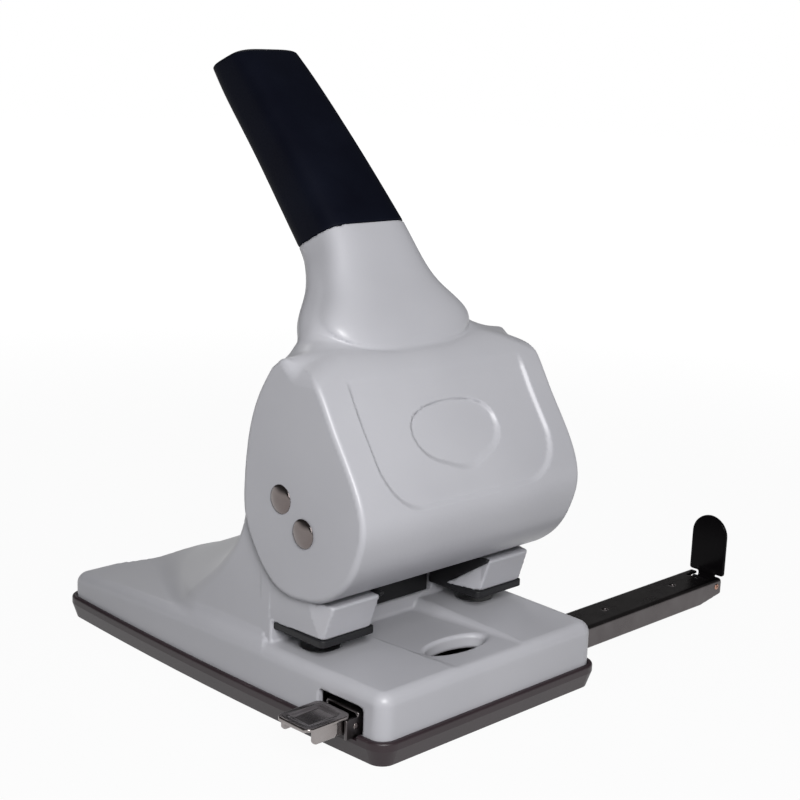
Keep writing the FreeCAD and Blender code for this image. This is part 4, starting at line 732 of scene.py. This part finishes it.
def pin_cap(name, y, z, end_x):
    profile = [(end_x, CAP_BORE), (end_x, PIN_HEAD_RADIUS)] + domed_head(end_x, 1)[::-1][1:]
    return turned(name, profile, (0, y, z), 0)


def cross_rivet(name, x, z, radius):
    """A short pin through the channel's two sides, spread at both ends."""
    end = RULER_HALF + RIVET_PAST
    rows = [(back - end, share * radius) for back, share in RIVET_SPREAD]
    return turned(name, rows + [(-along, r) for along, r in rows[::-1]], (x, RULER_MIDDLE, z), 1, 32)


pins = (
    (cross_pin("pivot_pin", PIVOT_Y, PIVOT_Z, PIVOT_END_X), "pivot_axle", "frame"),
    (pin_cap("pivot_cap", PIVOT_Y, PIVOT_Z, PIVOT_END_X), "pivot_axle_cap", "frame"),
    (cross_pin("drive_roller", DRIVE_Y, DRIVE_Z, DRIVE_END_X), "drive_pin", "lever"),
    (pin_cap("drive_cap", DRIVE_Y, DRIVE_Z, DRIVE_END_X), "drive_pin_cap", "lever"),
    (cross_rivet("latch_rivet", *LATCH_PIN, 1.2), "latch_pin", "ruler"),
    (cross_rivet("flap_rivet", *FLAP_PIN, 1.3), "flap_pin", "ruler"),
)


# ---- node graphs
def operator(operation, swapped=False):
    """A method that adds the maths node of one operator."""
    def apply(self, other):
        first, second = (other, self) if swapped else (self, other)
        return self.graph.node("ShaderNodeMath", {"operation": operation}, {0: first, 1: second})
    return apply


class Wire:
    """A socket that takes Python's own operators."""
    def __init__(self, graph, socket):
        self.graph, self.socket = graph, socket

    __add__, __radd__ = operator("ADD"), operator("ADD", True)
    __sub__, __rsub__ = operator("SUBTRACT"), operator("SUBTRACT", True)
    __mul__, __rmul__ = operator("MULTIPLY"), operator("MULTIPLY", True)


class Graph:
    """Adds nodes to a shader or geometry tree."""
    def __init__(self, tree):
        self.tree = tree
        tree.nodes.clear()

    def node(self, kind, settings=None, inputs=None, out=0):
        made = self.tree.nodes.new(kind)
        for name, value in (settings or {}).items():
            setattr(made, name, value)
        for name, value in (inputs or {}).items():
            if isinstance(value, Wire):
                self.tree.links.new(value.socket, made.inputs[name])
            else:
                made.inputs[name].default_value = value
        return Wire(self, made.outputs[out]) if len(made.outputs) else made

    def place(self):
        return self.node("ShaderNodeTexCoord", out="Object")

    def noise(self, size, detail=2.0, roughness=0.5, vector=None):
        """Noise whose grains are about this many millimetres wide."""
        return self.node("ShaderNodeTexNoise", {}, {
            "Vector": vector or self.place(), "Scale": 1 / (size * MM), "Detail": detail,
            "Roughness": roughness}, "Fac")

    def between(self, share, first, second):
        """A mix of two colours, each a plain (r, g, b) or a wire."""
        ends = [shade if isinstance(shade, Wire) else (*shade, 1.0) for shade in (first, second)]
        return self.node("ShaderNodeMix", {"data_type": "RGBA"}, {0: share, 6: ends[0], 7: ends[1]}, 2)

    def spread(self, value, low, high, ease="LINEAR"):
        return self.node("ShaderNodeMapRange", {"interpolation_type": ease},
                         {"Value": value, "From Min": low, "From Max": high})

    def clouded(self, cloud, dark, light, half=0.2):
        """The finish's two shades, blended where the cloud noise passes its middle."""
        return self.between(self.spread(cloud, 0.5 - half, 0.5 + half), dark, light)

    def raised(self, height, depth, strength):
        return self.node("ShaderNodeBump", {}, {"Height": height, "Strength": strength, "Distance": depth * MM})


def start_finish(name):
    material = bpy.data.materials.new(name)
    material.use_nodes = True
    return material, Graph(material.node_tree)


def end_finish(graph, **inputs):
    """Closes a finish with one principled shader; capital and underscore follow its socket names."""
    named = {key.replace("_", " "): value for key, value in inputs.items()}
    shader = graph.node("ShaderNodeBsdfPrincipled", {}, named)
    graph.node("ShaderNodeOutputMaterial", {}, {"Surface": shader})


def satin_paint(name, light, dark, rough=0.34, shine=0.5):
    """Sprayed enamel over a casting: faint orange peel, faint clouding and a few dust nibs."""
    material, g = start_finish(name)
    cloud, peel, grain = g.noise(55.0, 3.0), g.noise(1.5, 1.5), g.noise(0.25, 2.0)
    end_finish(g, Base_Color=g.clouded(cloud, dark, light, 0.15), Roughness=rough + 0.08 * cloud + 0.05 * grain,
               Normal=g.raised(peel + 0.15 * grain, 0.035, 0.55), Specular_IOR_Level=shine,
               Coat_Weight=0.24 * shine, Coat_Roughness=0.22)
    return material


def moulded_plastic(name, light, dark, rough, depth=0.03, grain_size=0.5, shine=0.4):
    """Spark-finished moulded plastic."""
    material, g = start_finish(name)
    grain, cloud = g.noise(grain_size, 3.0), g.noise(30.0, 2.0)
    end_finish(g, Base_Color=g.clouded(cloud, dark, light), Roughness=rough + 0.12 * grain,
               Normal=g.raised(grain, depth, 0.6), Specular_IOR_Level=shine)
    return material


def soft_rubber(name, light, dark):
    """Soft-touch sleeve: fine pebbled skin, duller where hands polish it least."""
    material, g = start_finish(name)
    cells = g.node("ShaderNodeTexVoronoi", {"feature": "SMOOTH_F1"},
                   {"Vector": g.place(), "Scale": 1 / (0.55 * MM), "Smoothness": 0.6}, "Distance")
    cloud, grain = g.noise(24.0, 3.0), g.noise(0.2, 2.0)
    end_finish(g, Base_Color=g.clouded(cloud, dark, light), Roughness=0.46 + 0.14 * cloud + 0.05 * grain,
               Normal=g.raised(cells + 0.3 * grain, 0.05, 0.4), Specular_IOR_Level=0.04)
    return material


def plated(name, light, dark, rough, stretch=(1.0, 1.0, 1.0)):
    """Plated metal with fine drawn lines along the axis that is stretched least, and a little haze."""
    material, g = start_finish(name)
    flat = g.node("ShaderNodeMapping", {}, {"Vector": g.place(), "Scale": stretch})
    lines, haze = g.noise(0.35, 4.0, 0.6, flat), g.noise(9.0, 3.0)
    end_finish(g, Base_Color=g.clouded(haze, dark, light), Metallic=1.0,
               Roughness=rough + 0.10 * haze + 0.08 * lines, Normal=g.raised(lines, 0.006, 0.5))
    return material


enamel = satin_paint("light_grey_enamel", (0.455, 0.455, 0.485), (0.425, 0.425, 0.455))
finishes = {
    "tray": moulded_plastic("dark_tray_plastic", (0.030, 0.019, 0.023), (0.022, 0.014, 0.017), 0.36),
    "grip": soft_rubber("black_grip_rubber", (0.0045, 0.0055, 0.011), (0.003, 0.0035, 0.0075)),
    "black": satin_paint("black_enamel", (0.018, 0.018, 0.02), (0.011, 0.011, 0.012), 0.38, 0.2),
    "zinc": plated("zinc_plate", (0.34, 0.34, 0.35), (0.27, 0.27, 0.28), 0.3, (0.08, 1.0, 1.0)),
    "pin": plated("bright_pin", (0.19, 0.165, 0.16), (0.16, 0.135, 0.13), 0.1, (0.3, 1.0, 1.0)),
    "tool": plated("ground_steel", (0.5, 0.5, 0.51), (0.42, 0.42, 0.43), 0.22, (1.0, 1.0, 0.1)),
    "spring": plated("spring_wire", (0.42, 0.42, 0.43), (0.3, 0.3, 0.31), 0.28),
    "screw": plated("screw_plate", (0.36, 0.35, 0.33), (0.28, 0.27, 0.26), 0.3),
    "nickel": plated("dark_nickel", (0.115, 0.105, 0.106), (0.09, 0.08, 0.081), 0.2, (0.03, 1.0, 1.0)),
    "latch": plated("latch_chrome", (0.33, 0.305, 0.30), (0.26, 0.235, 0.23), 0.12, (0.2, 1.0, 1.0)),
    "flap": moulded_plastic("gloss_black_enamel", (0.004, 0.0035, 0.004), (0.003, 0.0025, 0.003), 0.12,
                            depth=0.012, grain_size=1.2, shine=0.05),
    "copper": plated("copper_rivet", (0.52, 0.30, 0.22), (0.42, 0.23, 0.17), 0.2),
}


# ---- repeated fittings, by geometry nodes
def grown(name, build, **sizes):
    """Runs a geometry tree made by build and keeps its result as a plain mesh object."""
    tree = bpy.data.node_groups.new(name, "GeometryNodeTree")
    graph = Graph(tree)
    tree.interface.new_socket("Geometry", in_out="OUTPUT", socket_type="NodeSocketGeometry")
    sockets = {key: tree.interface.new_socket(key, in_out="INPUT", socket_type="NodeSocketFloat").identifier
               for key in sizes}
    entry = tree.nodes.new("NodeGroupInput")
    made = build(graph, **{key: Wire(graph, entry.outputs[key]) for key in sizes})
    real = graph.node("GeometryNodeRealizeInstances", {}, {0: made})
    graph.node("NodeGroupOutput", {}, {0: real})
    holder = placed(name, bpy.data.meshes.new(name))
    modifier = holder.modifiers.new("build", "NODES")
    modifier.node_group = tree
    for key, value in sizes.items():
        modifier[sockets[key]] = value
    bpy.context.view_layer.update()
    result = bpy.data.meshes.new_from_object(holder.evaluated_get(bpy.context.evaluated_depsgraph_get()))
    holder.modifiers.clear()
    holder.data = result
    result.name = name
    bpy.data.node_groups.remove(tree)
    return holder


def vector(g, x=0.0, y=0.0, z=0.0):
    return g.node("ShaderNodeCombineXYZ", {}, {0: x, 1: y, 2: z})


def moved(g, shape, x, y, z):
    return g.node("GeometryNodeTransform", {}, {0: shape, "Translation": vector(g, x, y, z)})


def cylinder(g, vertices, radius, depth):
    return g.node("GeometryNodeMeshCylinder", {}, {"Vertices": vertices, "Radius": radius, "Depth": depth})


def cut_from(g, shape, tool):
    return g.node("GeometryNodeMeshBoolean", {"operation": "DIFFERENCE"}, {0: shape, 1: tool})


def with_metal(g, shape, key):
    return g.node("GeometryNodeSetMaterial", {}, {0: shape, "Material": finishes[key]})


def on_points(g, points, shape):
    return g.node("GeometryNodeInstanceOnPoints", {}, {"Points": points, "Instance": shape})


def pair_of(g, shape, apart, back, height):
    """The shape on the left and on the right of the middle plane."""
    line = g.node("GeometryNodeMeshLine", {"mode": "OFFSET"}, {"Count": 2, "Offset": vector(g, apart)})
    return on_points(g, line, moved(g, shape, apart * -0.5, back, height))


def spring_pair(g, radius, wire, foot, top, turns, apart, back):
    """Two closed-end springs: the pitch runs out at both ends."""
    steady_share = 0.42
    spiral = g.node("GeometryNodeCurveSpiral", {}, {
        "Resolution": 40, "Rotations": turns, "Start Radius": radius, "End Radius": radius, "Height": 0.0})
    share = g.node("GeometryNodeSplineParameter", out="Factor")
    eased = share * share * (3.0 - 2.0 * share)
    rise = (share * steady_share + eased * (1 - steady_share)) * (top - foot)
    coil = g.node("GeometryNodeSetPosition", {}, {0: spiral, "Offset": vector(g, z=rise)})
    section = g.node("GeometryNodeCurvePrimitiveCircle", {}, {"Resolution": 10, "Radius": wire * 0.5})
    tube = g.node("GeometryNodeCurveToMesh", {}, {0: coil, "Profile Curve": section, "Fill Caps": True})
    smooth = g.node("GeometryNodeSetShadeSmooth", {}, {0: tube, "Shade Smooth": True})
    return pair_of(g, with_metal(g, smooth, "spring"), apart, back, foot)


def plate_screws(g, across, along, back, face, head, shank, sink, length):
    """Four countersunk screws with a slot, heads down, at the corners of a rectangle."""
    slot_reach, slot_width, slot_depth = 2.0, 0.16, 0.8
    cone = g.node("GeometryNodeMeshCone", {}, {
        "Vertices": 32, "Radius Top": shank * 0.5, "Radius Bottom": head * 0.5, "Depth": sink})
    stem = moved(g, cylinder(g, 32, shank * 0.5, length), 0.0, 0.0, length * 0.5)
    join = g.node("GeometryNodeMeshBoolean", {"operation": "UNION"}, {1: cone})
    g.tree.links.new(stem.socket, join.socket.node.inputs[1])
    bar = vector(g, head * slot_reach, head * slot_width, sink * slot_depth)
    screw = with_metal(g, cut_from(g, join, g.node("GeometryNodeMeshCube", {}, {"Size": bar})), "screw")
    corners = g.node("GeometryNodeMeshGrid", {}, {
        "Size X": across, "Size Y": along, "Vertices X": 2, "Vertices Y": 2})
    return on_points(g, moved(g, corners, 0.0, back, face), screw)


def strap_screws(g, apart, back, face, head, thick, shank, length):
    """Two cap screws with a socket, heads down, one for each strap of the paper guide."""
    key_share, key_rise, overlap = 0.27, -0.45, 0.0002
    key = moved(g, cylinder(g, 6, head * key_share, thick), 0.0, 0.0, thick * key_rise)
    cap = cut_from(g, cylinder(g, 32, head * 0.5, thick), key)
    cap = moved(g, cap, 0.0, 0.0, thick * -0.5)
    stem = moved(g, cylinder(g, 24, shank * 0.5, length), 0.0, 0.0, length * 0.5 - overlap)
    whole = g.node("GeometryNodeJoinGeometry", {}, {0: cap})
    g.tree.links.new(stem.socket, whole.socket.node.inputs[0])
    return pair_of(g, with_metal(g, whole, "screw"), apart, back, face)


springs = grown("return_springs", spring_pair, radius=0.0044, wire=0.0012, foot=0.0391, top=0.0633,
                turns=6.5, apart=0.08, back=-0.0415)
screws = grown("frame_screw_set", plate_screws, across=0.0976, along=0.0105, back=-0.04125, face=0.03125,
               head=0.005, shank=0.003, sink=0.0015, length=0.0108)
cap_screws = grown("strap_screw_set", strap_screws, apart=0.066, back=-0.0566, face=0.0174,
                   head=0.0056, thick=0.0018, shank=0.003, length=0.0045)


# ---- dressing and riding
def finished(piece, material):
    piece.data.materials.clear()
    piece.data.materials.append(material)


def dress(piece, material, body, slot, *nodes):
    """Puts a piece in the place of plain solids; the grown fittings bring their own material."""
    if material is not None:
        finished(piece, material)
    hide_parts(*nodes)
    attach(piece, body)


dress(head, enamel, "lever", "housing_paint", "lever_shell")
dress(base, enamel, "frame", "housing_paint", "base_housing", "punch_body")
dress(plates, finishes["black"], "frame", "black_steel", "punch_frame_left", "punch_frame_right")
dress(grip, finishes["grip"], "lever", "grip_rubber", "handle_grip")
dress(ruler, finishes["nickel"], "ruler", "ruler_nickel", "ruler_channel")
dress(latch, finishes["latch"], "latch", "latch_chrome", "ruler_latch")
dress(flap, finishes["flap"], "flap", "flap_black", "end_stop_flap")
for piece, node, body in pins:
    slot = {"latch_pin": "latch_chrome", "flap_pin": "flap_pin_brass"}.get(node, "pin_chrome")
    dress(piece, finishes["copper" if node == "flap_pin" else "pin"], body, slot, node)
dress(springs, None, "frame", "spring_steel", "return_spring_left", "return_spring_right")
dress(screws, None, "frame", "screw_steel", "frame_screws")
dress(cap_screws, None, "frame", "screw_steel", "guide_screws")
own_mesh(springs)

kept = {
    "tray": ["chip_tray"],
    "screw": ["body_screws"],
    "black": ["paper_stop"],
    "zinc": ["drive_bar", "handle_core"],
    "tool": ["punch_left", "punch_right", "die_left", "die_right", "guide_bush_left", "guide_bush_right",
             "punch_collar_left", "punch_collar_right", "punch_dowel_left", "punch_dowel_right", "core_pin"],
    "nickel": ["ruler_guide_left", "ruler_guide_right"],
    "spring": ["ruler_spring"],
}
for key, nodes in kept.items():
    for node in nodes:
        finished(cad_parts[node], finishes[key])


# ---- stage, camera and lamps
WHITE = (1.0, 1.0, 1.0)
FLOOR_HALF, FLOOR_GREY, FLOOR_GLOW = 3.0, (0.22, 0.22, 0.23), 1.06
FLOOR_NEAR_WHITE, FLOOR_EDGE = 0.9, (0.3, 1.2)
SIDE_LIGHT, TOP_LIGHT, LIGHT_FADE = 0.27, 0.2, (0.2, 0.85)
MIRRORED_TOP, MIRRORED_FADE = 0.07, (-0.02, 0.16)


def ray_mask(graph):
    """One for what the camera sees straight or in a mirror or through glass."""
    rays = graph.node("ShaderNodeLightPath", out="Is Camera Ray")
    path = rays.socket.node
    total = rays + Wire(graph, path.outputs["Is Glossy Ray"]) + Wire(graph, path.outputs["Is Transmission Ray"])
    return graph.node("ShaderNodeMath", {"operation": "MINIMUM"}, {0: total, 1: 1.0})


def white_floor():
    mesh = bpy.data.meshes.new("floor")
    half = FLOOR_HALF
    mesh.from_pydata([(-half, -half, 0), (half, -half, 0), (half, half, 0), (-half, half, 0)], [], [(0, 1, 2, 3)])
    floor = placed("floor", mesh)
    material, g = start_finish("pale_floor")
    matt = g.node("ShaderNodeBsdfDiffuse", {}, {"Color": (*FLOOR_GREY, 1.0)})
    glow = g.node("ShaderNodeEmission", {}, {"Color": (*WHITE, 1.0), "Strength": FLOOR_GLOW})
    away = g.node("ShaderNodeVectorMath", {"operation": "LENGTH"}, {0: g.place()}, "Value")
    white = FLOOR_NEAR_WHITE + (1 - FLOOR_NEAR_WHITE) * g.spread(away, *FLOOR_EDGE, "SMOOTHSTEP")
    mixed = g.node("ShaderNodeMixShader", {}, {0: ray_mask(g) * white, 1: matt, 2: glow})
    g.node("ShaderNodeOutputMaterial", {}, {"Surface": mixed})
    mesh.materials.append(material)


def studio_world():
    """White where the camera looks; for light, paler round the sides than overhead."""
    world = bpy.data.worlds.new("studio")
    bpy.context.scene.world = world
    world.use_nodes = True
    g = Graph(world.node_tree)
    way = g.node("ShaderNodeTexCoord", out="Generated")
    height = g.node("ShaderNodeSeparateXYZ", {}, {0: way}, "Z")
    soft = g.between(g.spread(height, *LIGHT_FADE, "SMOOTHSTEP"), (SIDE_LIGHT,) * 3, (TOP_LIGHT,) * 3)
    mirrored = g.between(g.spread(height, *MIRRORED_FADE, "SMOOTHSTEP"), WHITE, (MIRRORED_TOP,) * 3)
    camera = g.node("ShaderNodeLightPath", out="Is Camera Ray")
    colour = g.between(ray_mask(g), soft, g.between(camera, mirrored, WHITE))
    light = g.node("ShaderNodeBackground", {}, {"Color": colour, "Strength": 1.0})
    g.node("ShaderNodeOutputWorld", {}, {"Surface": light})


def towards(azimuth, height):
    """The way from the object to a viewer or a lamp, from the front and the level up."""
    a, e = math.radians(azimuth), math.radians(height)
    return Vector((math.sin(a) * math.cos(e), -math.cos(a) * math.cos(e), math.sin(e)))


def soft_lamp(name, azimuth, height, distance, size, power, aim=(0.0, -0.03, 0.09)):
    data = bpy.data.lights.new(name, "AREA")
    data.shape, data.size, data.energy = "DISK", size, power
    lamp, back = placed(name, data), towards(azimuth, height)
    lamp.location = Vector(aim) + back * distance
    lamp.rotation_mode = "QUATERNION"
    lamp.rotation_quaternion = (-back).to_track_quat("-Z", "Y")


def main_camera():
    data = bpy.data.cameras.new("camera")
    camera, back = placed("camera", data), towards(VIEW_AZIMUTH, VIEW_HEIGHT)
    around, roll = math.radians(VIEW_AZIMUTH), math.radians(VIEW_ROLL)
    level = Vector((math.cos(around), math.sin(around), 0))
    rise = back.cross(level)
    right = math.cos(roll) * level + math.sin(roll) * rise
    up = -math.sin(roll) * level + math.cos(roll) * rise
    matrix = Matrix((right, up, back)).transposed().to_4x4()
    matrix.translation = Vector(EYE) * MM
    camera.matrix_world = matrix
    data.sensor_width, data.lens = SENSOR, FOCAL_SHARE * SENSOR
    data.clip_start, data.clip_end = 0.02, 20.0
    bpy.context.scene.camera = camera


white_floor()
studio_world()
soft_lamp("key", -38.0, 27.0, 0.58, 0.3, 3.8, (0.0, -0.05, 0.11))
soft_lamp("rim", 150.0, 40.0, 1.6, 0.6, 3.0)
main_camera()
bpy.context.scene.view_settings.view_transform = "Standard"
